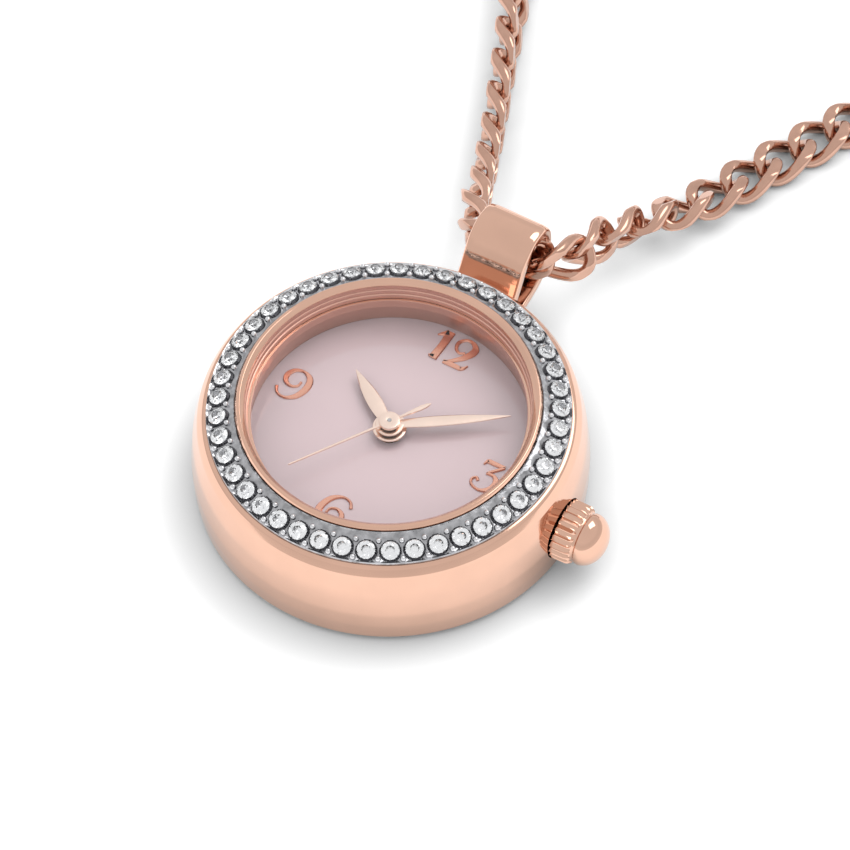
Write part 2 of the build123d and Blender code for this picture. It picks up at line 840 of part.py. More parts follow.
cannon = gear(cannon_leaves, pitch_of(cannon_leaves), motion_z, wheel_top(motion_z), centre_at, 0, cannon_in,
              tooth_there=False)
save("cannon_pinion", cannon + pipe(cannon_out, cannon_in, motion_z, minute_top_z + pipe_proud))
stud_bore = stud_r + run_gap
minute_wheel = gear(minute_teeth, pitch_of(minute_teeth), motion_z, wheel_top(motion_z), minute_at,
                    facing(0), stud_bore)
save("minute_wheel", minute_wheel + gear(
    minute_leaves, pitch_of(minute_leaves), wheel_top(motion_z), wheel_top(hour_wheel_z) + run_gap, minute_at,
    facing(0), stud_bore, tooth_there=False))
hour_wheel = gear(hour_teeth, pitch_of(hour_teeth), hour_wheel_z, wheel_top(hour_wheel_z), centre_at, 0,
                  hour_pipe_in)
save("hour_wheel", hour_wheel + pipe(hour_pipe_out, hour_pipe_in, hour_wheel_z,
                                     hour_hand_z + hand_thick + pipe_proud))
save("setting_wheel", gear(setting_teeth, pitch_of(setting_teeth), motion_z, wheel_top(motion_z), setting_at,
                           facing(0), stud_bore, tooth_there=False))


# Main plate, with its studs, posts and the stem's two bearings
posts = [(x * plate_r, y * plate_r) for x, y in post_share]
lever_top_z = lever_z + lever_thick
stop_z = seconds_z
wheel_room = motion_module * tooth_out_share + recess_gap
recess = strip([(*centre_at, pitch_of(hour_teeth) + wheel_room), (*minute_at, pitch_of(minute_teeth) + wheel_room),
                (*setting_at, pitch_of(setting_teeth) + wheel_room)], recess_z, plate_top_z + overrun)
plate = Pos(0, 0, plate_low_z) * extrude(
    make_face(outline(regular(plate_r, plate_sides))), plate_top_z - plate_low_z)
plate -= recess
for x, y in posts:
    plate += pin(post_r, bridge_top_z, plate_low_z, x, y)
for start in (bearing_in_x, bearing_out_x):
    plate += block((start, -bearing_half, bearing_low_z), (start + bearing_long, bearing_half, plate_low_z))
for at in (minute_at, setting_at):
    plate += pin(stud_r, recess_z, plate_top_z - plate_gap, *at)
plate += pin(guide_r, lever_z - plate_gap, plate_low_z, guide_x, guide_y)
plate += pin(stop_pin_r, stop_z - plate_gap, plate_low_z, stop_x, stop_y)
for at in (third_at, intermediate_at, rotor_at):
    plate -= hole(arbor_r + pivot_gap, plate_low_z, plate_low_z + pivot_deep, *at)
plate -= hole(centre_pipe_out + run_gap, plate_low_z, recess_z)
plate -= bar_x(stem_r + stem_gap, stem_inner_x - stem_gap, plate_r + overrun)
tab_gap = stem_gap * 2
plate -= block((groove_x - tab_thick / 2 - tab_gap, -tab_half - tab_gap, plate_low_z),
               (groove_x + stem_pull + tab_thick / 2 + tab_gap, tab_half + tab_gap, tab_z + tab_gap))
for side in (-1, 1):
    plate -= hole(dial_foot_r + pivot_gap, dial_foot_z - plate_gap, plate_top_z, 0, side * dial_foot_y)
for x, y in posts:
    plate -= hole(screw_r, bridge_top_z, bridge_z + screw_long, x, y)
save("main_plate", plate)

# Spacer ring between the movement and the case
spacer = washer(cavity_r - plate_gap, 0, spacer_low_z, dial_low_z)
spacer -= Pos(0, 0, spacer_low_z) * extrude(
    make_face(outline(regular(plate_r + plate_gap, plate_sides))), dial_low_z - spacer_low_z)
spacer -= bar_x(tube_r + stem_gap, 0, cavity_r + overrun)
save("movement_ring", spacer)


# Train bridge, its screws, the battery and its strap
def bridge_plan(extra):
    spots = [centre_at, third_at, intermediate_at, rotor_at] + posts
    return [(x, y, bridge_edge + extra) for x, y in spots]


bridge = strip(bridge_plan(0), bridge_z, bridge_top_z)
bridge -= washer(battery_r + battery_gap, 0, bridge_z, bridge_top_z, 0, battery_y)
bridge -= hole(second_arbor_r + pivot_gap, bridge_z, bridge_top_z)
for at in (third_at, intermediate_at, rotor_at):
    bridge -= hole(arbor_r + pivot_gap, bridge_z, bridge_top_z, *at)
for x, y in posts:
    bridge -= hole(screw_r + pivot_gap, bridge_z, bridge_top_z, x, y)
save("train_bridge", bridge)


def bridge_screw(x, y, seat_z):
    """a slotted screw, its head below the seat"""
    head_z = seat_z - screw_head_high
    body = pin(screw_head_r, head_z, seat_z, x, y, pipe_sides)
    body += pin(screw_r, seat_z, bridge_z + screw_long, x, y)
    half = screw_slot / 2
    return body - block((x - screw_head_r, y - half, head_z), (x + screw_head_r, y + half, head_z + half))


strap_z = bridge_z - strap_thick
save("bridge_screws", *[bridge_screw(x, y, strap_z if i == 0 else bridge_z) for i, (x, y) in enumerate(posts)])
strap = strip([(*posts[0], strap_half), (strap_far_x, strap_far_y, strap_half)], strap_z, bridge_z)
save("battery_strap", strap - hole(screw_r + pivot_gap, strap_z, bridge_z, *posts[0]))
cell = washer(battery_r, 0, bridge_z, bridge_z + battery_thick - battery_cap_high, 0, battery_y)
save("battery", cell + washer(battery_cap_r, 0, bridge_z, bridge_z + battery_thick, 0, battery_y))


# Stator, coil and its core
def round_y(radius, low_y, high_y):
    """a round bar along Y on the coil's axis"""
    return Pos(core_x, low_y, stator_z - stator_thick / 2) * Rot(-90, 0, 0) * extrude(
        Circle(radius), high_y - low_y)


core_half = core_wide / 2
stator_top_z = stator_z + stator_thick
stator = block((rotor_at[0] - stator_half, core_low_y, stator_z), (rotor_at[0] + stator_half, core_high_y, stator_top_z))
for low_y, high_y in ((core_low_y, core_low_y + core_wide), (core_high_y - core_wide, core_high_y)):
    stator += block((core_x - core_half, low_y, stator_z), (rotor_at[0], high_y, stator_top_z))
save("stator", stator - washer(magnet_r + stator_gap, 0, stator_z, stator_top_z, *rotor_at))
core = block((core_x - core_half, core_low_y, stator_z - stator_thick), (core_x + core_half, core_high_y, stator_z))
cheeks = round_y(cheek_r, coil_low_y, coil_low_y + cheek_thick)
cheeks += round_y(cheek_r, coil_high_y - cheek_thick, coil_high_y)
save("coil_core", core + cheeks)
save("drive_coil", round_y(winding_r, coil_low_y + cheek_thick, coil_high_y - cheek_thick) - core)


# Circuit board and quartz can
board_top_z = bridge_z + board_thick
board = washer(board_out_r, board_in_r, bridge_z, board_top_z)
board &= block((-board_out_r, board_low_y, bridge_z), (board_far_x, board_out_r, board_top_z))
board -= strip(bridge_plan(board_gap), bridge_z, board_top_z)
save("circuit_board", board)
save("quartz_can", Pos(-can_long / 2, can_y, board_top_z + can_r) * Rot(0, 90, 0) * extrude(Circle(can_r), can_long))


# Stem
stem = bar_x(stem_r, stem_inner_x, crown_neck_x)
groove_low_x = groove_x - groove_wide / 2
groove = bar_x(stem_r + overrun, groove_low_x, groove_low_x + groove_wide)
groove -= bar_x(groove_r, groove_low_x, groove_low_x + groove_wide)
save("stem", stem - groove)


# Crown, its tube and its gasket
def crown_body():
    step = full_turn / flute_count
    root_r = crown_r - flute_deep
    core_r = root_r - flute_deep / 2
    rows = []
    for k in range(flute_count):
        for radius, share in ((root_r, 0), (crown_r, land_share), (crown_r, 1 - land_share)):
            rows.append(polar(radius, (k + share) * step))
    grip = make_face(outline(rows))
    body = Pos(flute_start_x, 0, crown_z) * Rot(0, 90, 0) * extrude(grip, flute_end_x - flute_start_x)
    dome_high = dome_tip_x - crown_neck_x
    ball_r = (dome_r ** 2 + dome_high ** 2) / (2 * dome_high)
    ball_at = Vector(0, 0, dome_tip_x - ball_r)
    rim = Vector(dome_r, 0, crown_neck_x)
    dome_mid = ball_at + ((rim - ball_at) + Vector(0, 0, ball_r)).normalized() * ball_r
    edges = [
        Line((0, 0, crown_inner_x), (core_r, 0, crown_inner_x)),
        Line((core_r, 0, crown_inner_x), (core_r, 0, flute_end_x)),
        Line((core_r, 0, flute_end_x), (crown_neck_r, 0, crown_neck_x)),
        Line((crown_neck_r, 0, crown_neck_x), (dome_r, 0, crown_neck_x)),
        ThreePointArc(rim, dome_mid, (0, 0, dome_tip_x)),
        Line((0, 0, dome_tip_x), (0, 0, crown_inner_x)),
    ]
    body += Pos(0, 0, crown_z) * Rot(0, 90, 0) * revolve(make_face(edges), Axis.Z)
    body -= bar_x(crown_recess_r, crown_inner_x, crown_recess_end_x)
    return body - bar_x(stem_r, crown_inner_x, crown_neck_x)


save("crown", crown_body())
tube = bar_x(tube_r, tube_inner_x, tube_end_x)
save("crown_tube", tube - bar_x(tube_bore_r, tube_inner_x, tube_end_x))
o_ring_r = crown_recess_r - o_ring_wire
save("crown_gasket", Pos(o_ring_x, 0, crown_z) * Rot(0, 90, 0) * wire_loop(
    o_ring_r, o_ring_r, 0, o_ring_wire, link_sides, flute_count))


# Setting lever: the stem's groove carries it, and its peg turns the stop lever
lever = block((lever_in_x, lever_low_y, lever_z), (lever_out_x, lever_high_y, lever_top_z))
lever += block((groove_x - tab_thick / 2, -tab_half, lever_z), (groove_x + tab_thick / 2, tab_half, tab_z))
lever -= bar_x(groove_r + stem_gap, lever_in_x, lever_out_x)
lever -= block((lever_in_x, -groove_r - stem_gap, crown_z), (lever_out_x, groove_r + stem_gap, tab_z))
guide_hole = guide_r + stem_gap
lever -= strip([(guide_x - stem_pull, guide_y, guide_hole), (guide_x, guide_y, guide_hole)],
               lever_z, lever_top_z)
save("setting_lever", lever + pin(peg_r, stop_z - plate_gap, lever_z, peg_x, peg_y))

# Stop lever: its tip holds the seconds wheel while the crown is out
peg_long = hypot(peg_x - stop_x, peg_y - stop_y)
peg_out_long = hypot(peg_x + stem_pull - stop_x, peg_y - stop_y)
fork_r = peg_r + fork_gap
fork_end = peg_out_long + fork_r + fork_wall
stop_top_z = stop_z + stop_thick


def toward_peg(distance, radius):
    """a circle on the stop lever, on the line from its pivot to the resting peg"""
    share = distance / peg_long
    return stop_x + (peg_x - stop_x) * share, stop_y + (peg_y - stop_y) * share, radius


stop = strip([(stop_x, stop_y, stop_hub_r), (stop_tip_x, stop_tip_y, stop_tip_r)], stop_z, stop_top_z)
stop += strip([(stop_x, stop_y, stop_hub_r), toward_peg(fork_end, fork_r + fork_wall)], stop_z, stop_top_z)
stop -= strip([toward_peg(peg_long, fork_r), toward_peg(fork_end + fork_r + fork_wall, fork_r)], stop_z, stop_top_z)
save("stop_lever", stop - hole(stop_pin_r + pivot_gap, stop_z, stop_top_z, stop_x, stop_y))


# Chain
def coil_points(start_bearing, turns, lane):
    """route points of one strand of the coil, clockwise and inward"""
    points = []
    for k in range(floor(turns * coil_steps) + 1):
        bearing = start_bearing - k * full_turn / coil_steps
        gone = (right_coil_start - bearing) / full_turn
        x, y = polar(coil_start_r + lane - coil_inward * gone, bearing)
        points.append((coil_x0 + x, coil_y0 + y, chain_z, 0))
    return points


def smooth(points):
    """closely spaced places on the clamped quadratic B-spline of the points"""
    spans = len(points) - 2

    def knot(i):
        return max(0, min(spans, i - 2))

    places = []
    for step in range(spans * route_fine + 1):
        u = step / route_fine
        first = min(floor(u), spans - 1)
        pull = [points[first + m] for m in range(route_order)]
        for level in (1, 2):
            for m in range(2, level - 1, -1):
                low, high = knot(m + first), knot(m + first + 3 - level)
                share = (u - low) / (high - low)
                pull[m] = [a + (b - a) * share for a, b in zip(pull[m - 1], pull[m])]
        places.append(pull[2])
    return places


def gap(a, b):
    return (Vector(*a[:3]) - Vector(*b[:3])).length


def spaced(places, pitch, count):
    """count places along the route, a pitch apart in a straight line"""
    out = [places[0]]
    for place in places:
        if len(out) < count and gap(out[-1], place) >= pitch:
            out.append(place)
    return out


def link_frame(before, at, after):
    """the frame of a link: x along the chain, z square to its flat faces"""
    ahead = (Vector(*after[:3]) - Vector(*before[:3])).normalized()
    left = Vector(0, 0, 1).cross(ahead).normalized()
    up = ahead.cross(left)
    tilt = radians(at[3])
    return Plane(origin=at[:3], x_dir=ahead, z_dir=up * cos(tilt) + left * sin(tilt)).location


def route_length(places):
    return sum(gap(a, b) for a, b in zip(places, places[1:]))


def least_radius(places):
    """the tightest bend, from every three places half a pitch apart"""
    spots = spaced(places, link_pitch / 2, len(places))
    tightest = None
    for a, b, c in zip(spots, spots[1:], spots[2:]):
        area = (Vector(*b[:3]) - Vector(*a[:3])).cross(Vector(*c[:3]) - Vector(*a[:3])).length
        if area > 0:
            radius = gap(a, b) * gap(b, c) * gap(a, c) / (2 * area)
            tightest = radius if tightest is None else min(tightest, radius)
    return tightest


seen_link = wire_loop(link_long, link_wide, link_twist, link_wire_r, link_sides, link_steps, link_flat)
coil_link = wire_loop(link_long, coil_link_wide, coil_link_twist, link_wire_r, coil_link_sides,
                      coil_link_steps, link_flat)


def strand(points, start):
    """the frames of a strand's links, from its first link at the bail to its free end"""
    spots = spaced(smooth(points), link_pitch, len(points) * route_fine)
    frames = []
    for i in range(start, len(spots) - 1):
        before = spots[i - 1] if i > 0 else (-spots[1][0], *spots[1][1:])
        frames.append(link_frame(before, spots[i], spots[i + 1]))
    return frames, spots


right_points = right_route + coil_points(right_coil_start, right_coil_turns, 0) + right_tail
left_points = left_route + coil_points(left_coil_start, left_coil_turns, coil_lane)
right_frames, right_spots = strand(right_points, 0)
left_frames, left_spots = strand(left_points, 1)


def dressed(frames, seen):
    """links on their frames; the first few are of the fine shape"""
    return [frame * (seen_link if i < seen else coil_link) for i, frame in enumerate(frames)]


right_links = dressed(right_frames, seen_links)
left_links = dressed(left_frames, seen_links - 1)
save("chain_right_run", *right_links[:right_run_links])
save("chain_left_run", *left_links[:left_run_links])
save("chain_coil", *right_links[right_run_links:], *left_links[left_run_links:])
print("links", len(right_links), len(left_links), "necklace length",
      round(link_pitch * (len(right_links) + len(left_links)), 1))
for name, points in (("right", right_points), ("left", left_points)):
    places = smooth(points)
    print(name, "strand", round(route_length(places), 2), "least radius", round(least_radius(places), 2))
coil_gap = min(gap(a, b) for a in right_spots[right_run_links:] for b in left_spots[left_run_links:])
print("least distance between the strands of the coil", round(coil_gap, 2))


# End ring on the left strand; jump ring and clasp on the right one
def beyond(frame_spots, pitch, lift):
    """the next place past a strand's last link, at a height"""
    a, b = frame_spots[-3], frame_spots[-2]
    ahead = Vector(b[0] - a[0], b[1] - a[1], 0).normalized()
    return (b[0] + ahead.X * pitch, b[1] + ahead.Y * pitch, lift), ahead


end_at, end_ahead = beyond(left_spots, end_ring_pitch, chain_z)
save("end_ring", Plane(origin=end_at, x_dir=end_ahead, z_dir=(0, 0, 1)).location * wire_loop(
    end_ring_long, end_ring_wide, end_ring_twist, end_ring_wire, link_sides, link_steps, link_flat))
jump_z = jump_wide + jump_wire
jump_at, clasp_ahead = beyond(right_spots, jump_pitch, jump_z)
jump_across = Vector(0, 0, 1).cross(clasp_ahead)
save("jump_ring", Plane(origin=jump_at, x_dir=clasp_ahead, z_dir=jump_across).location * wire_loop(
    jump_long, jump_wide, jump_twist, jump_wire, link_sides, link_steps))


# Lobster clasp: built flat about its eye, then laid on the jump ring
clasp_half = clasp_thick / 2
lever_half = clasp_lever_high / 2
plan = [(clasp_neck_x, 0, clasp_neck_r), (clasp_mid_x, 0, clasp_mid_r), (clasp_tip_x, 0, clasp_tip_r)]
inside = [(x, y, r - clasp_band) for x, y, r in plan[1:]]
band = hull(plan) - hull(inside)
body = Pos(0, 0, -clasp_half) * extrude(band, clasp_thick)
reach = clasp_mid_r + thumb_r
catch_reach = clasp_mouth_high_x - clasp_pin_x - clasp_play
body -= block((clasp_mouth_low_x, 0, -clasp_half), (clasp_mouth_high_x, reach, clasp_half)) & washer(
    catch_reach + clasp_play, 0, -clasp_half, clasp_half, clasp_pin_x, clasp_pin_y)
arm = [(clasp_pin_x, clasp_pin_y, clasp_hub_r),
       (clasp_mouth_low_x + clasp_hub_r, clasp_mid_r - clasp_band / 2, clasp_band / 2)]
for step in range(clasp_swing_steps + 1):
    swung = Pos(clasp_pin_x, clasp_pin_y) * Rot(0, 0, -clasp_swing * step / clasp_swing_steps) * Pos(
        -clasp_pin_x, -clasp_pin_y)
    body -= swung * strip([(x, y, r + clasp_play) for x, y, r in arm], -lever_half - clasp_play,
                          lever_half + clasp_play)
body -= hole(clasp_pin_r, -clasp_half, clasp_half, clasp_pin_x, clasp_pin_y)
body += wire_loop(eye_r, eye_r, 0, eye_wire, link_sides, eye_steps)
catch = Pos(0, 0, -lever_half) * extrude(band, clasp_lever_high)
catch &= block((clasp_mouth_low_x, catch_low_y, -lever_half), (clasp_mouth_high_x, reach, lever_half))
catch &= washer(catch_reach, 0, -lever_half, lever_half, clasp_pin_x, clasp_pin_y)
catch += strip(arm, -lever_half, lever_half)
catch += strip([(thumb_x, clasp_mid_r - clasp_band / 2, thumb_r / 2), (thumb_x, thumb_y, thumb_r / 2)],
               -lever_half, lever_half)
catch -= hole(clasp_pin_r + pivot_gap, -lever_half, lever_half, clasp_pin_x, clasp_pin_y)
clasp_reach = clasp_tip_x + clasp_tip_r
clasp_drop = jump_z - clasp_half
clasp_down = Vector(clasp_ahead.X, clasp_ahead.Y, -clasp_drop / clasp_reach).normalized()
eye_at = Vector(*jump_at) + Vector(clasp_ahead.X, clasp_ahead.Y, 0) * eye_pitch
clasp_side = Vector(0, 0, 1).cross(clasp_down).normalized()
on_clasp = Plane(origin=eye_at, x_dir=clasp_down, z_dir=clasp_down.cross(clasp_side)).location
save("clasp_body", on_clasp * body)
save("clasp_lever", on_clasp * catch)
save("clasp_pin", on_clasp * pin(clasp_pin_r, -clasp_half, clasp_half, clasp_pin_x, clasp_pin_y))
pin_at = (on_clasp * Pos(clasp_pin_x, clasp_pin_y, 0)).position
pin_axis = clasp_down.cross(clasp_side)
print("clasp pin", [round(v, 4) for v in pin_at], "axis", [round(v, 5) for v in pin_axis])
print("places", "third", third_at, "intermediate", intermediate_at, "rotor", rotor_at)
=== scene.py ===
import bpy
import bmesh
import json
from math import atan2, cos, hypot, pi, radians, sin, sqrt
from mathutils import Matrix, Vector

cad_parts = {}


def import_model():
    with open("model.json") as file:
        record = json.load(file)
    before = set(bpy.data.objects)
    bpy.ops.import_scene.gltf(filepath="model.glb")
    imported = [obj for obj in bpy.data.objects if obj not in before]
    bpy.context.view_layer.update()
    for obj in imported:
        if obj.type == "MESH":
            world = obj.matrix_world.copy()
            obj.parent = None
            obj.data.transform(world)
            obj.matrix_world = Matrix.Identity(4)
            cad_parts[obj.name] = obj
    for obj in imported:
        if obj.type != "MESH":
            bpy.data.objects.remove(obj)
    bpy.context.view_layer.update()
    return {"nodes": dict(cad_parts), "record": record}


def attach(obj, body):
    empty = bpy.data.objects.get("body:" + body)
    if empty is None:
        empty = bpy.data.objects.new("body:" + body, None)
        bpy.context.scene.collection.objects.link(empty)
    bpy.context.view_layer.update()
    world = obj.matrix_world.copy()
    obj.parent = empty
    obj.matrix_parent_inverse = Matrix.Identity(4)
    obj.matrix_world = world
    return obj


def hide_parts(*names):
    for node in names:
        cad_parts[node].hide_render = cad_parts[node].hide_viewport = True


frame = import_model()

MM = 0.001


# Camera: a long lens at the photograph's viewing angle
picture = 850
focal_pixels = 5998.3
aim_pixel = (389.83, 430.98)
azimuth, elevation, roll = radians(32.0), radians(55.3), radians(2.57)
distance = 450 * MM
aim = Vector((0, 0, 6 * MM))
ahead = Vector((-sin(azimuth) * cos(elevation), cos(azimuth) * cos(elevation), -sin(elevation)))
right = Vector((cos(azimuth), sin(azimuth), 0))
above = right.cross(ahead)
side = right * cos(roll) - above * sin(roll)
top = right * sin(roll) + above * cos(roll)
camera = bpy.data.objects.new("camera", bpy.data.cameras.new("camera"))
bpy.context.scene.collection.objects.link(camera)
spot = aim - ahead * distance
camera.matrix_world = Matrix((
    (side.x, top.x, -ahead.x, spot.x),
    (side.y, top.y, -ahead.y, spot.y),
    (side.z, top.z, -ahead.z, spot.z),
    (0, 0, 0, 1)))
camera.data.sensor_width = 36
camera.data.lens = focal_pixels * camera.data.sensor_width / picture
camera.data.shift_x = (picture / 2 - aim_pixel[0]) / picture
camera.data.shift_y = (aim_pixel[1] - picture / 2) / picture
camera.data.clip_start = 0.01
camera.data.clip_end = 20
bpy.context.scene.camera = camera
bpy.context.scene.view_settings.view_transform = "Standard"
bpy.context.scene.cycles.caustics_reflective = False


# Materials
def tree_of(name):
    """a new material with its node tree and its shader"""
    material = bpy.data.materials.new(name)
    material.use_nodes = True
    tree = material.node_tree
    return material, tree, tree.nodes["Principled BSDF"]


def node(tree, kind, **values):
    """a new node; values are its own settings, or else its inputs with _ for a space"""
    made = tree.nodes.new(kind)
    for key, value in values.items():
        if hasattr(made, key):
            setattr(made, key, value)
        else:
            made.inputs[key.replace("_", " ")].default_value = value
    return made


def noise(tree, scale, detail=3.0, stretch=(1, 1, 1)):
    """noise in the part's own frame; the scale is in waves per metre"""
    where = node(tree, "ShaderNodeTexCoord")
    place = node(tree, "ShaderNodeMapping", Scale=stretch)
    made = node(tree, "ShaderNodeTexNoise", Scale=scale, Detail=detail)
    tree.links.new(where.outputs["Object"], place.inputs["Vector"])
    tree.links.new(place.outputs["Vector"], made.inputs["Vector"])
    return made


def spread(tree, value, low=0.0, high=1.0):
    """the middle of a noise's range, spread from low to high"""
    made = node(tree, "ShaderNodeMapRange", To_Min=low, To_Max=high)
    made.inputs["From Min"].default_value = 0.3
    made.inputs["From Max"].default_value = 0.7
    tree.links.new(value, made.inputs["Value"])
    return made


def surface_wear():
    """the effect all finishes share: a cloudy change of tone, an uneven gloss and a fine grain"""
    group = bpy.data.node_groups.new("surface_wear", "ShaderNodeTree")
    for name, kind in (("Colour", "Color"), ("Worn Colour", "Color"), ("Cloud Scale", "Float"),
                       ("Roughness", "Float"), ("Worn Roughness", "Float"), ("Gloss Scale", "Float"),
                       ("Grain Scale", "Float"), ("Stretch", "Vector")):
        group.interface.new_socket(name=name, in_out="INPUT", socket_type="NodeSocket" + kind)
    for name, kind in (("Colour", "Color"), ("Roughness", "Float"), ("Grain", "Float")):
        group.interface.new_socket(name=name, in_out="OUTPUT", socket_type="NodeSocket" + kind)
    given = group.nodes.new("NodeGroupInput").outputs
    result = group.nodes.new("NodeGroupOutput").inputs
    cloud, gloss, grain = noise(group, 1), noise(group, 1, 4), noise(group, 1, 2)
    group.links.new(given["Cloud Scale"], cloud.inputs["Scale"])
    group.links.new(given["Gloss Scale"], gloss.inputs["Scale"])
    group.links.new(given["Grain Scale"], grain.inputs["Scale"])
    group.links.new(given["Stretch"], grain.inputs["Vector"].links[0].from_node.inputs["Scale"])
    tone = group.nodes.new("ShaderNodeMix")
    tone.data_type = "RGBA"
    group.links.new(spread(group, cloud.outputs["Fac"]).outputs["Result"], tone.inputs["Factor"])
    group.links.new(given["Colour"], tone.inputs["A"])
    group.links.new(given["Worn Colour"], tone.inputs["B"])
    rough = spread(group, gloss.outputs["Fac"])
    group.links.new(given["Roughness"], rough.inputs["To Min"])
    group.links.new(given["Worn Roughness"], rough.inputs["To Max"])
    group.links.new(tone.outputs["Result"], result["Colour"])
    group.links.new(rough.outputs["Result"], result["Roughness"])
    group.links.new(grain.outputs["Fac"], result["Grain"])
    return group


wear = surface_wear()


def worn(tree, shader, colour, rough, tone=0.93, change=0.04, cloud=260, gloss=900, grain_scale=5200,
         grain=0.02, reach=0.02, stretch=(1, 1, 1)):
    """places the shared effect in a material and joins it to the shader; reach is the grain's depth in mm"""
    effect = tree.nodes.new("ShaderNodeGroup")
    effect.node_tree = wear
    given = effect.inputs
    given["Colour"].default_value = (*colour, 1)
    given["Worn Colour"].default_value = (*[c * tone for c in colour], 1)
    given["Cloud Scale"].default_value = cloud
    given["Roughness"].default_value = rough
    given["Worn Roughness"].default_value = rough + change
    given["Gloss Scale"].default_value = gloss
    given["Grain Scale"].default_value = grain_scale
    given["Stretch"].default_value = stretch
    tree.links.new(effect.outputs["Colour"], shader.inputs["Base Color"])
    tree.links.new(effect.outputs["Roughness"], shader.inputs["Roughness"])
    bump = node(tree, "ShaderNodeBump", Strength=grain, Distance=reach * MM)
    tree.links.new(effect.outputs["Grain"], bump.inputs["Height"])
    tree.links.new(bump.outputs["Normal"], shader.inputs["Normal"])


def metal(name, colour, rough, **values):
    """a bare metal in the shared finish"""
    material, tree, shader = tree_of(name)
    shader.inputs["Metallic"].default_value = 1
    worn(tree, shader, colour, rough, **values)
    return material


def plain(name, colour, rough, tone=0.85):
    """a plastic or rubber in the shared finish"""
    material, tree, shader = tree_of(name)
    worn(tree, shader, colour, rough, tone=tone, change=0.1, grain=0.1, grain_scale=2500)
    return material


gold = metal("rose_gold", (0.74, 0.46, 0.345), 0.07, change=0.03)
gold_satin = metal("rose_gold_satin", (0.70, 0.40, 0.31), 0.3, change=0.08, grain=0.05)
gold_chain = metal("chain_gold", (0.62, 0.375, 0.285), 0.1, change=0.1, tone=0.86, cloud=700, grain=0.06)
gold_hand = metal("hand_gold", (0.96, 0.76, 0.65), 0.2, change=0.06, grain=0.05)
gold_figure = metal("figure_gold", (0.84, 0.43, 0.31), 0.16, change=0.05)
rhodium = metal("rhodium", (0.76, 0.76, 0.78), 0.1, tone=0.8, change=0.1, cloud=1500)
# painted shade: a darker rhodium for the bezel's sunken channel, where shade falls; its cloud and grain are
# the metal's own texture
rhodium_painted_shade = metal("rhodium_painted_shade", (0.52, 0.52, 0.54), 0.14, tone=0.5, change=0.14, cloud=1500,
                     grain_scale=2600, grain=0.5, reach=0.06)
# painted shade: near-black rhodium for the shade in the crevices round the stone seats
painted_crevice_shade = metal("rhodium_painted_crevice_shade", (0.09, 0.09, 0.10), 0.25, change=0.2, cloud=1500)


def pearl_material():
    """a lacquered dial: a slow drift of tone under a deep clear coat"""
    material, tree, shader = tree_of("pearl")
    worn(tree, shader, (0.83, 0.63, 0.655), 0.34, tone=0.95, change=0.1, cloud=90, grain_scale=900,
         stretch=(1, 2.2, 1))
    shader.inputs["Coat Weight"].default_value = 1
    shader.inputs["Coat Roughness"].default_value = 0.03
    shader.inputs["Coat IOR"].default_value = 1.6
    return material


def crystal_material():
    """clear glass that shows only what it mirrors: little from straight on, more when seen flat"""
    mirror_least, mirror_gain, mirror_rise = 0.02, 0.6, 4.0
    material, tree, shader = tree_of("crystal")
    worn(tree, shader, (1, 1, 1), 0.0, tone=1, change=0.02, cloud=300, grain=0.0)
    shader.inputs["Metallic"].default_value = 1
    edge = node(tree, "ShaderNodeLayerWeight", Blend=0.5)
    steep = node(tree, "ShaderNodeMath", operation="POWER")
    steep.inputs[1].default_value = mirror_rise
    share = node(tree, "ShaderNodeMath", operation="MULTIPLY_ADD")
    share.inputs[1].default_value = mirror_gain
    share.inputs[2].default_value = mirror_least
    tree.links.new(edge.outputs["Facing"], steep.inputs[0])
    tree.links.new(steep.outputs[0], share.inputs[0])
    tree.links.new(share.outputs[0], shader.inputs["Alpha"])
    return material


def stone_material():
    """a clear cut stone"""
    material, tree, shader = tree_of("stone")
    worn(tree, shader, (0.97, 0.98, 1), 0.0, tone=0.97, change=0.01, cloud=900, grain=0.0)
    shader.inputs["Transmission Weight"].default_value = 1
    shader.inputs["IOR"].default_value = 2.1
    return material


finish = {
    "rose_gold": gold, "gold_trim": gold_hand, "chain_gold": gold_chain, "rhodium": rhodium,
    "stones": stone_material(), "crystal": crystal_material(), "pearl": pearl_material(),
    "nickel": metal("nickel", (0.62, 0.59, 0.53), 0.24, change=0.1, grain=0.2, stretch=(1, 12, 1)),
    "train_brass": metal("train_brass", (0.72, 0.50, 0.20), 0.16, change=0.1, grain=0.1),
    "steel": metal("steel", (0.50, 0.50, 0.51), 0.2, change=0.1, grain=0.15, stretch=(1, 10, 1)),
    "magnet": plain("magnet", (0.06, 0.06, 0.065), 0.45),
    "copper": metal("copper", (0.60, 0.22, 0.09), 0.3, change=0.1, grain=0.5, stretch=(1, 30, 1)),
    "board": plain("board", (0.02, 0.09, 0.035), 0.4, tone=0.7),
    "can": metal("can", (0.62, 0.62, 0.63), 0.22, change=0.1, grain=0.1),
    "spacer": plain("spacer", (0.62, 0.62, 0.6), 0.5),
    "gasket": plain("gasket", (0.012, 0.012, 0.012), 0.6),
}
nylon = plain("nylon", (0.50, 0.33, 0.28), 0.4)
for entry in frame["record"]["subparts"]:
    cad = frame["nodes"][entry["node"]]
    cad.data.materials.clear()
    cad.data.materials.append(nylon if entry["node"] == "crystal_gasket" else finish[entry["material_slot"]])


# Mesh helpers. All lengths given to them are in millimetres.
def shape(name, points, faces, sharp=30):
    """a piece of its points and faces, all faces turned outward"""
    mesh = bpy.data.meshes.new(name)
    mesh.from_pydata([[c * MM for c in p] for p in points], [], faces)
    mesh.validate()
    made = bpy.data.objects.new(name, mesh)
    bpy.context.scene.collection.objects.link(made)
    work = bmesh.new()
    work.from_mesh(mesh)
    bmesh.ops.recalc_face_normals(work, faces=work.faces)
    work.to_mesh(mesh)
    work.free()
    shade(made, sharp)
    return made


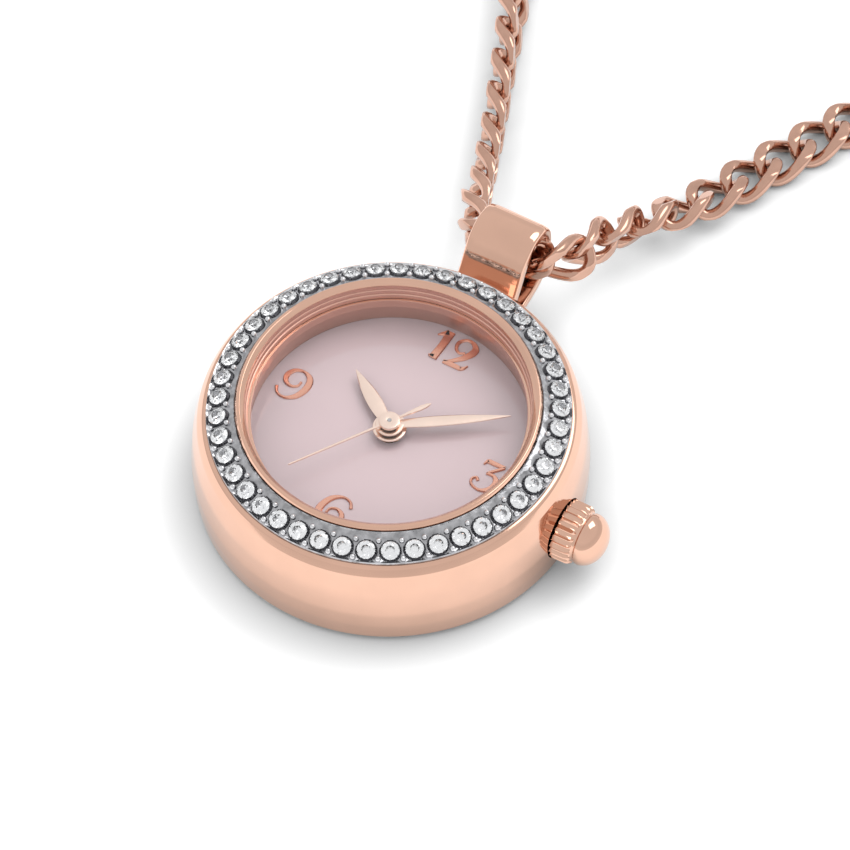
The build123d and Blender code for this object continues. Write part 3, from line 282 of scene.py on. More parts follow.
def shade(piece, sharp=30):
    """smooth shading with edges kept where faces meet at more than sharp degrees; 0 leaves all faces flat"""
    mesh = piece.data
    mesh.polygons.foreach_set("use_smooth", [sharp > 0] * len(mesh.polygons))
    if sharp > 0:
        mesh.set_sharp_from_angle(angle=radians(sharp))
    mesh.update()


def dress(piece, body, slot, *nodes, material=None):
    """gives a piece its material and its body, and hides the nodes it shows in their place"""
    piece.data.materials.clear()
    piece.data.materials.append(material or finish[slot])
    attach(piece, body)
    if nodes:
        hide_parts(*nodes)
    return piece


def baked(piece):
    """the piece with its modifiers worked into its mesh"""
    graph = bpy.context.evaluated_depsgraph_get()
    mesh = bpy.data.meshes.new_from_object(piece.evaluated_get(graph))
    piece.modifiers.clear()
    old = piece.data
    piece.data = mesh
    bpy.data.meshes.remove(old)
    return piece


def cut(piece, *tools):
    """the piece with the tools' shapes taken away"""
    for tool in tools:
        made = piece.modifiers.new("cut", "BOOLEAN")
        made.operation = "DIFFERENCE"
        made.solver = "EXACT"
        made.object = tool
    baked(piece)
    for tool in tools:
        bpy.data.objects.remove(tool)
    return piece


def rounded(points, closed=True, steps=4):
    """a run of (a, b, radius) corners with each corner rounded"""
    out = []
    n = len(points)
    for i, (a, b, r) in enumerate(points):
        if r == 0 or (not closed and i in (0, n - 1)):
            out.append((a, b))
            continue
        here = Vector((a, b))
        back = Vector(points[i - 1][:2]) - here
        on = Vector(points[(i + 1) % n][:2]) - here
        bend = back.angle(on)
        if bend > pi - 0.01:
            out.append((a, b))
            continue
        reach = min(r / sqrt((1 - cos(bend)) / (1 + cos(bend))), back.length * 0.49, on.length * 0.49)
        start, end = here + back.normalized() * reach, here + on.normalized() * reach
        for k in range(steps + 1):
            t = k / steps
            p = start * (1 - t) ** 2 + here * (2 * t * (1 - t)) + end * t ** 2
            out.append((p.x, p.y))
    return out


def lathe(name, section, steps=192, closed=True, sharp=30):
    """a turned piece about Z from (radius, height) points; radii of 0 become poles"""
    points, faces, rows = [], [], []
    for r, z in section:
        if r == 0:
            rows.append([len(points)] * steps)
            points.append((0, 0, z))
        else:
            rows.append(list(range(len(points), len(points) + steps)))
            points += [(r * cos(2 * pi * k / steps), r * sin(2 * pi * k / steps), z) for k in range(steps)]
    pairs = list(zip(rows, rows[1:] + rows[:1])) if closed else list(zip(rows, rows[1:]))
    for low, high in pairs:
        for k in range(steps):
            j = (k + 1) % steps
            corners = []
            for index in (low[k], low[j], high[j], high[k]):
                if index not in corners:
                    corners.append(index)
            if len(corners) > 2:
                faces.append(corners)
    return shape(name, points, faces, sharp)


def tube(name, rings, closed=False, sharp=30):
    """a skin over rings of equally many points, closed on itself or capped at both ends"""
    points = [p for ring in rings for p in ring]
    n = len(rings[0])
    faces = []
    for i in range(len(rings) - (0 if closed else 1)):
        j = (i + 1) % len(rings)
        for k in range(n):
            m = (k + 1) % n
            faces.append((i * n + k, i * n + m, j * n + m, j * n + k))
    if not closed:
        faces.append(list(range(n))[::-1])
        faces.append([(len(rings) - 1) * n + k for k in range(n)])
    return shape(name, points, faces, sharp)


def joined(name, pieces):
    """one piece from several"""
    work = bmesh.new()
    for piece in pieces:
        work.from_mesh(piece.data)
        bpy.data.objects.remove(piece)
    mesh = bpy.data.meshes.new(name)
    work.to_mesh(mesh)
    work.free()
    made = bpy.data.objects.new(name, mesh)
    bpy.context.scene.collection.objects.link(made)
    return made


# The chain: each strand is one free cord of links, and its links follow the route's own smooth line.
# Each route point is (x, y, z, tilt in degrees), from the bail through the photograph's view to the coil.
right_route = [
    (1.0, 18.3, 6.9, 90), (3.4, 18.6, 6.9, 98), (4.3, 21.2, 6.1, 102), (4.9, 24.6, 4.7, 84),
    (6.5, 28.6, 3.0, 50), (8.6, 32.4, 1.8, 24), (10.4, 36.3, 1.25, 8), (12.4, 40.6, 1.05, 0),
    (14.6, 44.8, 1.05, 0), (17.0, 49.4, 1.05, 0), (18.6, 54.6, 1.05, 0), (16.6, 60.2, 1.05, 0),
    (10.6, 64.4, 1.05, 0),
]
left_route = [
    (1.0, 18.3, 6.9, -90), (-2.5, 18.3, 6.7, -90), (-4.3, 20.3, 5.8, -90), (-5.7, 23.8, 4.2, -92),
    (-7.15, 27.3, 2.9, -92), (-8.8, 31.6, 2.35, -91), (-10.45, 35.65, 2.3, -89), (-12.1, 39.8, 2.3, -83),
    (-14.1, 44.4, 2.2, -68), (-16.5, 49.9, 1.85, -40), (-19.2, 56.2, 1.35, -14), (-21.9, 63.2, 1.05, 0),
    (-24.0, 71.0, 1.05, 0),
]
right_tail = [(-9.7, 95.2, 1.05, 0), (-6.2, 98.6, 1.1, 0), (-1.6, 98.8, 1.3, 0), (2.2, 96.2, 1.5, 0)]
link_long, link_wide, link_swing, link_wire, link_flat = 2.26, 1.42, -0.78, 0.49, 0.9
link_pitch, even_links = 3.3, 12
coil_x, coil_y, coil_z = 2, 90, 1.05
coil_r, coil_inward, coil_step, coil_mouth = 24.2, 9.4, 22.5, 270


def coil_points(start, turns, lane):
    """the coil's points from a start bearing, inward by coil_inward each turn; lane is one strand's own"""
    out = []
    for k in range(int(turns * 360 / coil_step) + 1):
        bearing = start - k * coil_step
        r = coil_r + lane - coil_inward * (coil_mouth - bearing) / 360
        out.append((coil_x + r * cos(radians(bearing)), coil_y + r * sin(radians(bearing)), coil_z, 0))
    return out


def spline_line(values):
    """the points of a smooth spline pulled by control points, read from its own curve"""
    data = bpy.data.curves.new("route", "CURVE")
    data.dimensions = "3D"
    data.resolution_u = 48
    spline = data.splines.new("NURBS")
    spline.points.add(len(values) - 1)
    for point, (x, y, z) in zip(spline.points, values):
        point.co = (x * MM, y * MM, z * MM, 1)
    spline.order_u = 3
    spline.use_endpoint_u = True
    holder = bpy.data.objects.new("route", data)
    bpy.context.scene.collection.objects.link(holder)
    mesh = bpy.data.meshes.new_from_object(holder)
    line = [v.co / MM for v in mesh.vertices]
    bpy.data.objects.remove(holder)
    bpy.data.meshes.remove(mesh)
    return line


def link_rings(around=40, sides=14):
    """the skin of one twisted oval link about its own middle, filed flat on both faces"""
    rings = []
    for i in range(around):
        t = 2 * pi * i / around
        middle = Vector((link_long * cos(t), link_wide * sin(t), link_swing * sin(2 * t)))
        along = Vector((-link_long * sin(t), link_wide * cos(t), 2 * link_swing * cos(2 * t))).normalized()
        outward = Vector((cos(t) / link_long, sin(t) / link_wide, 0))
        outward = (outward - along * outward.dot(along)).normalized()
        across = along.cross(outward)
        ring = []
        for j in range(sides):
            turn = 2 * pi * j / sides
            p = middle + outward * (link_wire * cos(turn)) + across * (link_wire * sin(turn))
            ring.append(Vector((p.x, p.y, max(-link_flat, min(link_flat, p.z)))))
        rings.append(ring)
    return rings


def link_spots(points, far_pitch):
    """the route's line, and the middles of its links as (place, tilt, line index)

    The first even_links stand link_pitch apart; the others far_pitch, so that the last meets its ring.
    """
    line = spline_line([p[:3] for p in points])
    tilts = [v.x for v in spline_line([(p[3], 0, 0) for p in points])]
    spots = [(line[0], tilts[0], 0)]

    def pitch():
        return link_pitch if len(spots) < even_links else far_pitch

    for i in range(1, len(line)):
        while (line[i] - spots[-1][0]).length >= pitch():
            back, on = line[i - 1], line[i]
            low, high = 0.0, 1.0
            for _ in range(24):
                t = (low + high) / 2
                if (back.lerp(on, t) - spots[-1][0]).length < pitch():
                    low = t
                else:
                    high = t
            spots.append((back.lerp(on, high), tilts[i - 1] * (1 - high) + tilts[i] * high, i))
    return line, spots


def strand(name, points, first, count, far_pitch):
    """a strand of count links from the route's link number first on, and the line it follows"""
    line, spots = link_spots(points, far_pitch)
    rings = link_rings()
    skins = []
    for i in range(first, min(first + count, len(spots) - 1)):
        at, tilt, last = spots[i]
        before = spots[i - 1][0] if i > 0 else spots[0][0] * 2 - spots[1][0]
        along = (spots[i + 1][0] - before).normalized()
        left = Vector((0, 0, 1)).cross(along).normalized()
        up = along.cross(left)
        z_dir = up * cos(radians(tilt)) + left * sin(radians(tilt))
        y_dir = z_dir.cross(along)
        skin = [[at + along * p.x + y_dir * p.y + z_dir * p.z for p in ring] for ring in rings]
        skins.append(tube("link", skin, closed=True, sharp=0))
    made = joined(name, skins)
    shade(made, 38)
    return made, [p * MM for p in line[:last + 6]]


right_points = right_route + coil_points(coil_mouth, turns=1.25, lane=0) + right_tail
left_points = left_route + coil_points(200, turns=1.0, lane=4.7)
right_strand, right_line = strand("chain_right", right_points, first=0, count=66, far_pitch=3.36)
left_strand, left_line = strand("chain_left", left_points, first=1, count=60, far_pitch=3.395)
dress(right_strand, "case", "chain_gold", "chain_right_run", "chain_coil")
dress(left_strand, "case", "chain_gold", "chain_left_run", "chain_coil")


# Case middle, with the crown's pocket
crown_z = 3.65
pocket_r, pocket_x, pocket_out_x = 2.42, 13.9, 16
tube_hole_r, tube_hole_x, tube_hole_out_x = 0.93, 10, 15
case_section = rounded([
    (14.45, 0.2, 0.1), (14.92, 0.62, 0.5), (15.04, 2.2, 3), (15.05, 3.6, 5), (14.86, 5.9, 6),
    (14.42, 7.7, 1.2), (14.0, 8.36, 0.5), (13.72, 8.46, 0.08), (13.6, 8.38, 0.05), (10.35, 8.38, 0.05),
    (10.35, 7.7, 0.05), (11.6, 7.7, 0.05), (11.6, 1.1, 0.05), (12.7, 1.1, 0.05), (12.7, 0.25, 0.05)], steps=8)
case = lathe("case_shell", case_section, 256)


def x_turned(name, section, steps=96):
    """a turned piece about the crown's axis, from (radius, x) points"""
    rings = [[(x, r * cos(2 * pi * k / steps), crown_z + r * sin(2 * pi * k / steps)) for k in range(steps)]
             for r, x in section]
    return tube(name, rings)


def satin_inside(piece, radius, top=9.5):
    """the satin finish on a turned piece's faces inside a radius and below a height"""
    piece.data.materials.append(gold_satin)
    for face in piece.data.polygons:
        x, y, z = face.center / MM
        if hypot(x, y) < radius and z < top:
            face.material_index = 1


cut(case, x_turned("pocket", [(pocket_r, pocket_x), (pocket_r, pocket_out_x)]),
    x_turned("tube_hole", [(tube_hole_r, tube_hole_x), (tube_hole_r, tube_hole_out_x)]))
shade(case, 30)
dress(case, "case", "rose_gold", "case_middle")
satin_inside(case, 11.7)


# Crown: fluted grip, a shoulder and a domed end
flutes, flute_steps, flute_deep = 24, 12, 0.22
dome_x, dome_long, dome_r, dome_steps = 16.86, 1.64, 2.08, 16
tip_r = 0.004


def crown_piece():
    """the crown's skin from (x, radius, share of the flutes' depth) points"""
    steps, rings = flutes * flute_steps, []
    section = [(14.2, 0.95, 0), (14.2, 1.95, 0), (14.26, 2.08, 0.2), (14.38, 2.24, 0.8), (14.55, 2.33, 1),
               (15.1, 2.35, 1), (15.7, 2.35, 1), (16.1, 2.34, 1), (16.28, 2.29, 1), (16.4, 2.18, 0.85),
               (16.46, 2.05, 0.3), (16.5, 1.98, 0), (16.58, 1.93, 0), (16.7, 1.93, 0), (16.76, 1.98, 0),
               (16.8, 2.05, 0)]
    for k in range(1, dome_steps + 1):
        t = pi / 2 * k / dome_steps
        section.append((dome_x + dome_long * sin(t), max(dome_r * cos(t), tip_r), 0))
    for x, r, depth in section:
        ring = []
        for k in range(steps):
            share = (k % flute_steps) / flute_steps
            dip = sin(pi * share) ** 0.8 if share > 0 else 0
            radius = r - flute_deep * depth * dip
            turn = 2 * pi * k / steps
            ring.append((x, radius * cos(turn), crown_z + radius * sin(turn)))
        rings.append(ring)
    return tube("crown_skin", rings, sharp=42)


dress(crown_piece(), "crown_set", "rose_gold", "crown")


# Bail: a polished band bent to a round-topped loop, both ends soldered into the case
def smooth_run(run, steps):
    """a smooth run through points of any dimension"""
    out = []
    for i in range(len(run) - 1):
        near = [run[max(min(i + m, len(run) - 1), 0)] for m in (-1, 0, 1, 2)]
        for k in range(steps):
            t = k / steps
            out.append(tuple(
                0.5 * (2 * b + (c - a) * t + (2 * a - 5 * b + 4 * c - d) * t * t
                       + (3 * b - a - 3 * c + d) * t ** 3)
                for a, b, c, d in zip(*near)))
    return out + [run[-1]]


def bail_piece():
    """a strap with eased edges on its outer face, along the loop's middle line in (y, z)"""
    line = smooth_run([
        (13.5, 5.3), (14.6, 6.15), (15.45, 7.2), (16.15, 8.3), (16.9, 9.15), (17.9, 9.68), (18.9, 9.66),
        (19.65, 9.3), (20.1, 8.6), (20.2, 7.6), (20.0, 6.2), (19.55, 5.0), (18.8, 4.35), (17.6, 4.0),
        (15.6, 3.75), (13.6, 3.6)], 6)
    half, low, high, ease_in, ease_fall = 2.55, 0.47, 0.475, 0.6, 0.1
    section = rounded([
        (-half, -low, 0.2), (half, -low, 0.2), (half, high - ease_fall, 0.3), (half - ease_in, high, 0.6),
        (ease_in - half, high, 0.6), (-half, high - ease_fall, 0.3)], steps=6)
    fine = [Vector(p) for p in line]
    rings = []
    for i, at in enumerate(fine):
        along = (fine[min(i + 1, len(fine) - 1)] - fine[max(i - 1, 0)]).normalized()
        out = Vector((-along.y, along.x))
        rings.append([(x, at.x + out.x * h, at.y + out.y * h) for x, h in section])
    return tube("bail_band", rings, sharp=50)


dress(bail_piece(), "case", "rose_gold", "bail")


# Stone bezel: seats cut in a sloped channel, beads between the stones, thin rims
stone_count, stone_steps = 45, 28
stone_step = 2 * pi / stone_count
stone_phase = -0.45 * stone_step
stone_across = 0.24
slope_low, slope_high = Vector((13.7, 8.7)), Vector((11.5, 9.64))
slope_mid = (slope_low + slope_high) / 2
slope_dir = (slope_low - slope_high).normalized()
slope_up = Vector((-slope_dir.y, slope_dir.x))
slope_half = (slope_low - slope_high).length / 2
rim_wide, rim_lift = 0.13, 0.02
seat_r, seat_edge_r, seat_deep, seat_edge_lift = 0.76, 0.72, 0.62, -0.02
hollow_lift, hollow_rise, hollow_run = -0.16, 0.1, 0.3
# the band round each stone seat that gets the painted crevice shade
painted_crevice_shade_from, painted_crevice_shade_to = 0.64, 0.81
bead_across, bead_r, bead_high, bead_root = (-0.5, 0.85), 0.235, 0.27, 0.16


def on_slope(bearing, across, lift):
    """a place on the sloped face: across is outward from the face's middle, lift is off the face"""
    at = slope_mid + slope_dir * across + slope_up * lift
    return Vector((at.x * cos(bearing), at.x * sin(bearing), at.y))


def seat_axes(bearing):
    """directions at a bearing: off the slope, along the ring and across the slope"""
    axis = (on_slope(bearing, 0, 1) - on_slope(bearing, 0, 0)).normalized()
    one = Vector((-sin(bearing), cos(bearing), 0))
    return axis, one, axis.cross(one)


def channel_lift(across, away):
    """the channel's height over the slope: raised rims, a dished seat for each stone, hollows between"""
    if abs(across) > slope_half - rim_wide:
        return rim_lift
    if away < seat_edge_r:
        return seat_edge_lift - seat_deep * (1 - away / seat_r)
    if away < seat_r:
        return seat_edge_lift
    return hollow_lift + hollow_rise * min((away - seat_r) / hollow_run, 1)


def bezel_channel(across_steps=24, reach=0.97):
    """the ring itself: an inner wall, the sloped channel and an outer wall"""
    faces = [slope_half * reach * (2 * i / across_steps - 1) for i in range(across_steps + 1)]
    steps = stone_count * stone_steps
    rings = []
    for k in range(steps):
        bearing = 2 * pi * k / steps + stone_phase
        along = ((k % stone_steps) / stone_steps) * stone_step
        along = min(along, stone_step - along) * slope_mid.x
        inner = [(slope_high.x, 8.4), (slope_high.x, 9.6)]
        outer = [(slope_low.x, 8.68), (slope_low.x, 8.42)]
        ring = [(r * cos(bearing), r * sin(bearing), z) for r, z in inner]
        ring += [tuple(on_slope(bearing, across, channel_lift(across, hypot(along, across - stone_across))))
                 for across in faces]
        ring += [(r * cos(bearing), r * sin(bearing), z) for r, z in outer]
        rings.append(ring)
    return tube("bezel_ring", rings, closed=True, sharp=0)


def bead(bearing, across, levels=6, sides=12):
    """a domed bead on the slope"""
    middle = on_slope(bearing, across, seat_edge_lift)
    axis, one, two = seat_axes(bearing)
    skin = []
    for level in range(levels + 1):
        t = pi / 2 * level / levels
        r = max(bead_r * cos(t), tip_r)
        h = bead_high * sin(t) if level > 0 else -bead_root
        turns = [2 * pi * j / sides for j in range(sides)]
        skin.append([middle + axis * h + one * (r * cos(turn)) + two * (r * sin(turn)) for turn in turns])
    return tube("bead", skin, sharp=60)


def bezel_piece():
    """the stone bezel, and how many of its faces are the ring's; those come before the beads'"""
    channel = bezel_channel()
    channel_faces = len(channel.data.polygons)
    beads = [bead(stone_step * (k + 0.5) + stone_phase, across)
             for k in range(stone_count) for across in bead_across]
    made = joined("bezel_skin", [channel] + beads)
    shade(made, 35)
    return made, channel_faces


def bezel_tones(made, channel_faces):
    """painted shade: near-black round the seats, darker metal on the rest of the channel, bright outer rim"""
    # index 1 is the channel's painted shade, index 2 the painted crevice shade
    deep, dark = 1, 2
    outer_rim, last_edge = slope_half - 0.15, slope_half - 0.04
    made.data.materials.append(rhodium_painted_shade)
    made.data.materials.append(painted_crevice_shade)
    for face in list(made.data.polygons)[:channel_faces]:
        x, y, z = face.center / MM
        across = (Vector((hypot(x, y), z)) - slope_mid).dot(slope_dir)
        along = (atan2(y, x) - stone_phase) % stone_step
        along = min(along, stone_step - along) * slope_mid.x
        away = hypot(along, across - stone_across)
        if painted_crevice_shade_from < away < painted_crevice_shade_to and abs(across) < outer_rim:
            face.material_index = dark
        elif across < outer_rim or across > last_edge:
            face.material_index = deep


bezel, bezel_ring_faces = bezel_piece()
dress(bezel, "case", "rhodium", "stone_bezel")
# paints shade into the bezel's channel faces
bezel_tones(bezel, bezel_ring_faces)


def stones_piece():
    """clear stones: table, star, kite and girdle facets above, a cone of facets below"""
    points, faces = [], []
    for k in range(stone_count):
        bearing = stone_step * k + stone_phase
        middle = on_slope(bearing, stone_across, 0.05)
        axis, one, two = seat_axes(bearing)
        twist = 0.9 * sin(k * 7.3)

        def ring(count, r, h, offset):
            """count points at a radius and height over the seat, turned by a share of a step"""
            start = len(points)
            for j in range(count):
                turn = 2 * pi * (j + offset) / count + twist
                points.append(middle + one * (r * cos(turn)) + two * (r * sin(turn)) + axis * h)
            return [start + j for j in range(count)]

        table = ring(8, 0.36, 0.25, 0)
        mid = ring(8, 0.55, 0.14, 0.5)
        girdle = ring(16, 0.7, 0.02, 0)
        lower = ring(16, 0.7, -0.02, 0)
        deep = ring(8, 0.3, -0.33, 0.5)
        culet = ring(1, 0, -0.54, 0)[0]
        faces.append(table)
        for j in range(8):
            i = (j + 1) % 8
            faces.append((table[j], table[i], mid[j]))
            faces.append((mid[j - 1], table[j], mid[j], girdle[2 * j]))
            faces.append((mid[j], girdle[2 * j + 1], girdle[2 * j]))
            faces.append((mid[j], girdle[(2 * j + 2) % 16], girdle[2 * j + 1]))
            faces.append((lower[2 * j], lower[2 * j + 1], deep[j]))
            faces.append((lower[2 * j + 1], lower[(2 * j + 2) % 16], deep[j]))
            faces.append((deep[j - 1], lower[2 * j], deep[j], culet))
        for j in range(16):
            i = (j + 1) % 16
            faces.append((girdle[j], girdle[i], lower[i], lower[j]))
    return shape("stones", points, faces, sharp=0)


dress(stones_piece(), "case", "stones", "bezel_stones")


# Crystal ring, crystal, dial ring and dial
ring_section = rounded([
    (11.47, 8.45, 0), (11.47, 9.76, 0.08), (11.34, 9.98, 0.12), (11.12, 9.98, 0.08), (10.8, 9.68, 0.05),
    (10.8, 9.2, 0.02), (10.72, 9.16, 0.02), (10.7, 8.8, 0.02), (10.6, 8.76, 0.02), (10.56, 8.42, 0)], steps=6)
satin_inside(dress(lathe("crystal_bezel", ring_section, 256), "case", "rose_gold", "crystal_ring"), 10.9)
glass_section = rounded([
    (0, 9.5, 0), (10.79, 9.5, 0.02), (10.79, 9.62, 0.03), (10.7, 9.7, 0.05), (0, 9.7, 0)],
    closed=False, steps=5)
dress(lathe("crystal_disc", glass_section, 256, closed=False), "case", "crystal", "crystal")
wall_section = rounded([
    (11.56, 5.85, 0), (10.6, 5.85, 0.02), (10.56, 7.3, 0.02), (10.45, 7.34, 0.02), (10.44, 7.5, 0.02),
    (10.38, 7.54, 0.02), (10.38, 7.68, 0.02), (11.56, 7.68, 0)], steps=3)
dress(lathe("dial_wall", wall_section, 256), "case", "rose_gold", "dial_ring", material=gold_satin)
dial_section = [(0.95, 5.4), (0.95, 5.78), (0.97, 5.8), (11.38, 5.8), (11.4, 5.78), (11.4, 5.4)]
dress(lathe("dial_face", dial_section, 256), "case", "pearl", "dial")


# Numerals: polished strokes with bevelled edges. Each stroke is (x, y, width) in shares of the height.
curl_nine = [
    (.13, .66, .05), (.1, .5, .05), (-.08, .42, .06), (-.28, .52, .1), (-.33, .73, .12), (-.2, .94, .08),
    (.05, 1.0, .06), (.29, .86, .13), (.36, .56, .15), (.24, .2, .12), (-.02, .01, .06), (-.28, .05, .05),
    (-.41, .24, .07)]
strokes = {
    "1": [[(-.26, .76, .02), (-.14, .86, .09), (.0, .95, .16)],
          [(.03, 1.0, .2), (.03, .5, .17), (-.01, .0, .19)],
          [(-.16, .06, .02), (-.08, .06, .08), (.0, .07, .1)]],
    "2": [[(.1, .56, .05), (-.06, .5, .05), (-.2, .6, .07), (-.23, .8, .08), (-.06, .98, .06), (.18, .94, .1),
           (.3, .74, .16), (.16, .44, .13), (-.08, .2, .08), (-.31, .04, .04)],
          [(-.31, .05, .09), (-.05, .06, .11), (.24, .05, .1)],
          [(.22, .05, .1), (.3, .1, .07), (.37, .22, .03)]],
    "3": [[(-.27, .8, .03), (-.24, .9, .06), (-.2, .95, .1)],
          [(-.22, .95, .1), (.05, .95, .1), (.3, .96, .07)],
          [(.3, .95, .06), (.12, .76, .07), (-.06, .57, .05)],
          [(-.06, .57, .05), (.16, .58, .07), (.32, .4, .14), (.26, .14, .13), (.02, .0, .06),
           (-.24, .06, .05), (-.33, .22, .05), (-.24, .33, .05), (-.15, .25, .06)]],
    "9": [curl_nine],
    "6": [[(-x, 1 - y, w) for x, y, w in curl_nine]],
}
figure_high, figure_pitch = 2.75, 0.62
figure_places = {12: (0.27, 8.85), 3: (8.35, 0.05), 6: (-0.2, -8.15), 9: (-8.5, 0.3)}
figure_foot, figure_side, figure_top, figure_bevel = 5.79, 5.87, 5.94, 0.06
figure_bolder, figure_least = 1.3, 0.012


def numeral_stroke(run, x0, y0, size):
    """one stroke as a bar with bevelled edges, a little wider than its run says"""
    run = smooth_run(run, 7)
    rings = []
    for i, (x, y, w) in enumerate(run):
        xa, ya, _ = run[max(i - 1, 0)]
        xb, yb, _ = run[min(i + 1, len(run) - 1)]
        long = hypot(xb - xa, yb - ya)
        ux, uy = (ya - yb) / long, (xb - xa) / long
        half = (w * figure_bolder + figure_least) * size / 2
        edge = min(figure_bevel, half * 0.6)
        profile = [(-half, figure_foot), (-half, figure_side), (-half + edge, figure_top),
                   (half - edge, figure_top), (half, figure_side), (half, figure_foot)]
        rings.append([(x0 + x * size + ux * a, y0 + y * size + uy * a, z) for a, z in profile])
    return tube("stroke", rings, sharp=25)


def numerals_piece():
    """all strokes of the four numerals"""
    parts = []
    for hour, (x, y) in figure_places.items():
        text = str(hour)
        for i, digit in enumerate(text):
            x0 = x + (i - (len(text) - 1) / 2) * figure_high * figure_pitch
            for run in strokes[digit]:
                parts.append(numeral_stroke(run, x0, y - figure_high / 2, figure_high))
    made = joined("numeral_strokes", parts)
    shade(made, 25)
    return made


dress(numerals_piece(), "case", "gold_trim", "dial_numerals", material=gold_figure)


# Hands: leaf blades with a low ridge, on turned bosses. Each has its underside's height and its bearing.
hand_thick, hand_edge, hand_shoulder, hand_tip = 0.12, 0.03, 0.88, 0.025
hour_low, minute_low, second_low = 6.42, 6.82, 7.2
hour_bearing, minute_bearing, second_bearing = 304.7, 56.4, 213.5


def blade(run, low, ridge):
    """a blade along +Y from (half width, y) points, its ridge as high as its half width times a share"""
    top = low + hand_thick
    rings = []
    for half, y in run:
        edge, shoulder = top - hand_edge, half * hand_shoulder
        rings.append([(-half, y, low), (-half, y, edge), (-shoulder, y, top), (0, y, top + half * ridge),
                      (shoulder, y, top), (half, y, edge), (half, y, low)])
    return tube("blade", rings, sharp=12)


def leaf(long, wide, root, steps=18):
    """a leaf's outline from root to tip, as (half width, y) points"""
    run = []
    for k in range(steps + 1):
        t = k / steps
        y = root + (long - root) * t
        half = wide / 2 * (sin(pi * (0.16 + 0.84 * t) ** 0.82) ** 0.8 if t < 1 else 0)
        run.append((max(half, hand_tip), y))
    return run


def boss(outer, inner, low, high):
    """the turned ring a hand sits on its pipe with"""
    section = rounded([
        (inner, low, 0), (outer, low, 0.02), (outer, high, 0.05), (inner, high, 0.03)], steps=3)
    return lathe("boss", section, 64)


def turned_to(piece, angle):
    """the piece turned clockwise from 12"""
    piece.data.transform(Matrix.Rotation(-radians(angle), 4, "Z"))
    return piece


hour = joined("hour_blade", [blade(leaf(5.9, 1.15, 0.9), hour_low, 0.09), boss(1.3, 0.62, hour_low, 6.56)])
shade(turned_to(hour, hour_bearing), 12)
dress(hour, "hour_set", "gold_trim", "hour_hand")
minute = joined("minute_blade", [
    blade(leaf(9.1, 0.92, 0.8), minute_low, 0.09), boss(1.06, 0.45, minute_low, 6.96)])
shade(turned_to(minute, minute_bearing), 12)
dress(minute, "minute_set", "gold_trim", "minute_hand")
tail = [(0.05, -0.5), (0.07, -1.0), (0.12, -1.6), (0.18, -2.3), (0.2, -2.7), (0.17, -3.1), (0.08, -3.4),
        (0.025, -3.5)]
needle = [(0.1, 0.5), (0.085, 4), (0.06, 8.3), (0.025, 8.45)]
second = joined("second_blade", [blade(needle, second_low, 0.05), blade(tail, second_low, 0.05),
                                 boss(0.8, 0.16, second_low, 7.46)])
shade(turned_to(second, second_bearing), 12)
dress(second, "seconds_set", "gold_trim", "seconds_hand")


# Stage: a white floor with a painted contact shadow, a soft overhead light and a pale room
# the last value is how far the floor's painted contact shadow reaches, in metres
floor_half, floor_white, floor_glow, painted_shadow_reach = 2, 0.9, 0.48, 0.005
room_bands = ((0.0, 0.95), (0.18, 0.85), (0.36, 0.85), (0.55, 0.92), (1.0, 0.9))


def seen_rays(tree):
    """1 for what the camera sees straight, in metal or through glass"""
    path = node(tree, "ShaderNodeLightPath")
    one = node(tree, "ShaderNodeMath", operation="MAXIMUM")
    two = node(tree, "ShaderNodeMath", operation="MAXIMUM")
    tree.links.new(path.outputs["Is Camera Ray"], one.inputs[0])
    tree.links.new(path.outputs["Is Glossy Ray"], one.inputs[1])
    tree.links.new(path.outputs["Is Transmission Ray"], two.inputs[0])
    tree.links.new(one.outputs[0], two.inputs[1])
    return two.outputs[0]


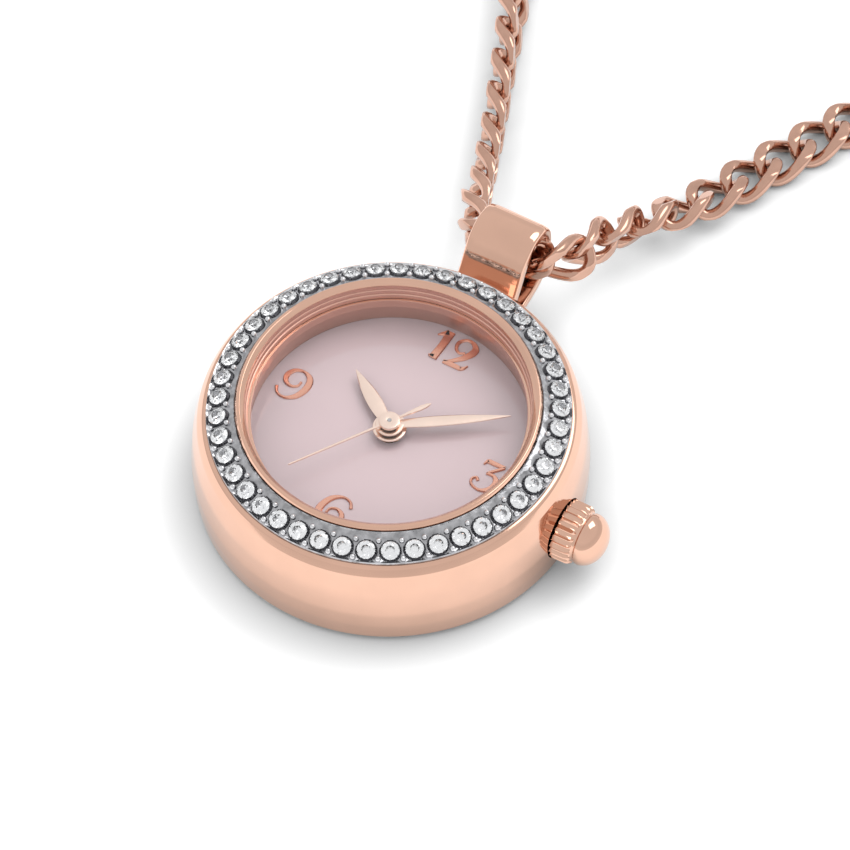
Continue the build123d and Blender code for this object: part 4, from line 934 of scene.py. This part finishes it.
def floor_piece():
    """a white floor that glows a little in what is seen; its glow dims near the part, a painted contact
    shadow
    """
    mesh = bpy.data.meshes.new("floor")
    h = floor_half
    mesh.from_pydata([(-h, -h, 0), (h, -h, 0), (h, h, 0), (-h, h, 0)], [], [(0, 1, 2, 3)])
    made = bpy.data.objects.new("floor", mesh)
    bpy.context.scene.collection.objects.link(made)
    material, tree, shader = tree_of("floor")
    shader.inputs["Base Color"].default_value = (floor_white, floor_white, floor_white, 1)
    shader.inputs["Roughness"].default_value = 0.9
    shader.inputs["Specular IOR Level"].default_value = 0
    # painted shadow: occlusion within a few millimetres, squared, dims the glow under and beside the part
    painted_shadow_ao = node(tree, "ShaderNodeAmbientOcclusion", samples=8, Distance=painted_shadow_reach)
    deeper = node(tree, "ShaderNodeMath", operation="POWER")
    deeper.inputs[1].default_value = 2.0
    tree.links.new(painted_shadow_ao.outputs["AO"], deeper.inputs[0])
    glow = node(tree, "ShaderNodeMath", operation="MULTIPLY")
    tree.links.new(seen_rays(tree), glow.inputs[0])
    tree.links.new(deeper.outputs[0], glow.inputs[1])
    level = node(tree, "ShaderNodeMath", operation="MULTIPLY")
    level.inputs[1].default_value = floor_glow
    tree.links.new(glow.outputs[0], level.inputs[0])
    tree.links.new(level.outputs[0], shader.inputs["Emission Strength"])
    shader.inputs["Emission Color"].default_value = (1, 1, 1, 1)
    mesh.materials.append(material)


def world():
    """a pale room, a little darker low down so that polished shapes read"""
    made = bpy.data.worlds.new("room")
    bpy.context.scene.world = made
    made.use_nodes = True
    tree = made.node_tree
    back = tree.nodes["Background"]
    where = node(tree, "ShaderNodeTexCoord")
    split = node(tree, "ShaderNodeSeparateXYZ")
    tree.links.new(where.outputs["Generated"], split.inputs["Vector"])
    ramp = node(tree, "ShaderNodeValToRGB")
    tree.links.new(split.outputs["Z"], ramp.inputs["Fac"])
    stops = ramp.color_ramp.elements
    while len(stops) < len(room_bands):
        stops.new(0.5)
    for stop, (place, grey) in zip(stops, room_bands):
        stop.position = place
        stop.color = (grey, grey, grey, 1)
    tree.links.new(ramp.outputs["Color"], back.inputs["Color"])


def lamp(name, place, target, size, power):
    """a square or oblong area lamp in metres and watts, facing its target"""
    data = bpy.data.lights.new(name, "AREA")
    data.shape = "RECTANGLE"
    data.size, data.size_y = size
    data.energy = power
    made = bpy.data.objects.new(name, data)
    bpy.context.scene.collection.objects.link(made)
    made.location = place
    made.rotation_euler = (Vector(target) - Vector(place)).to_track_quat("-Z", "Y").to_euler()


floor_piece()
world()
lamp("overhead", (0.2, 0.62, 0.9), (0, 0.01, 0), (0.6, 0.6), 2.8)
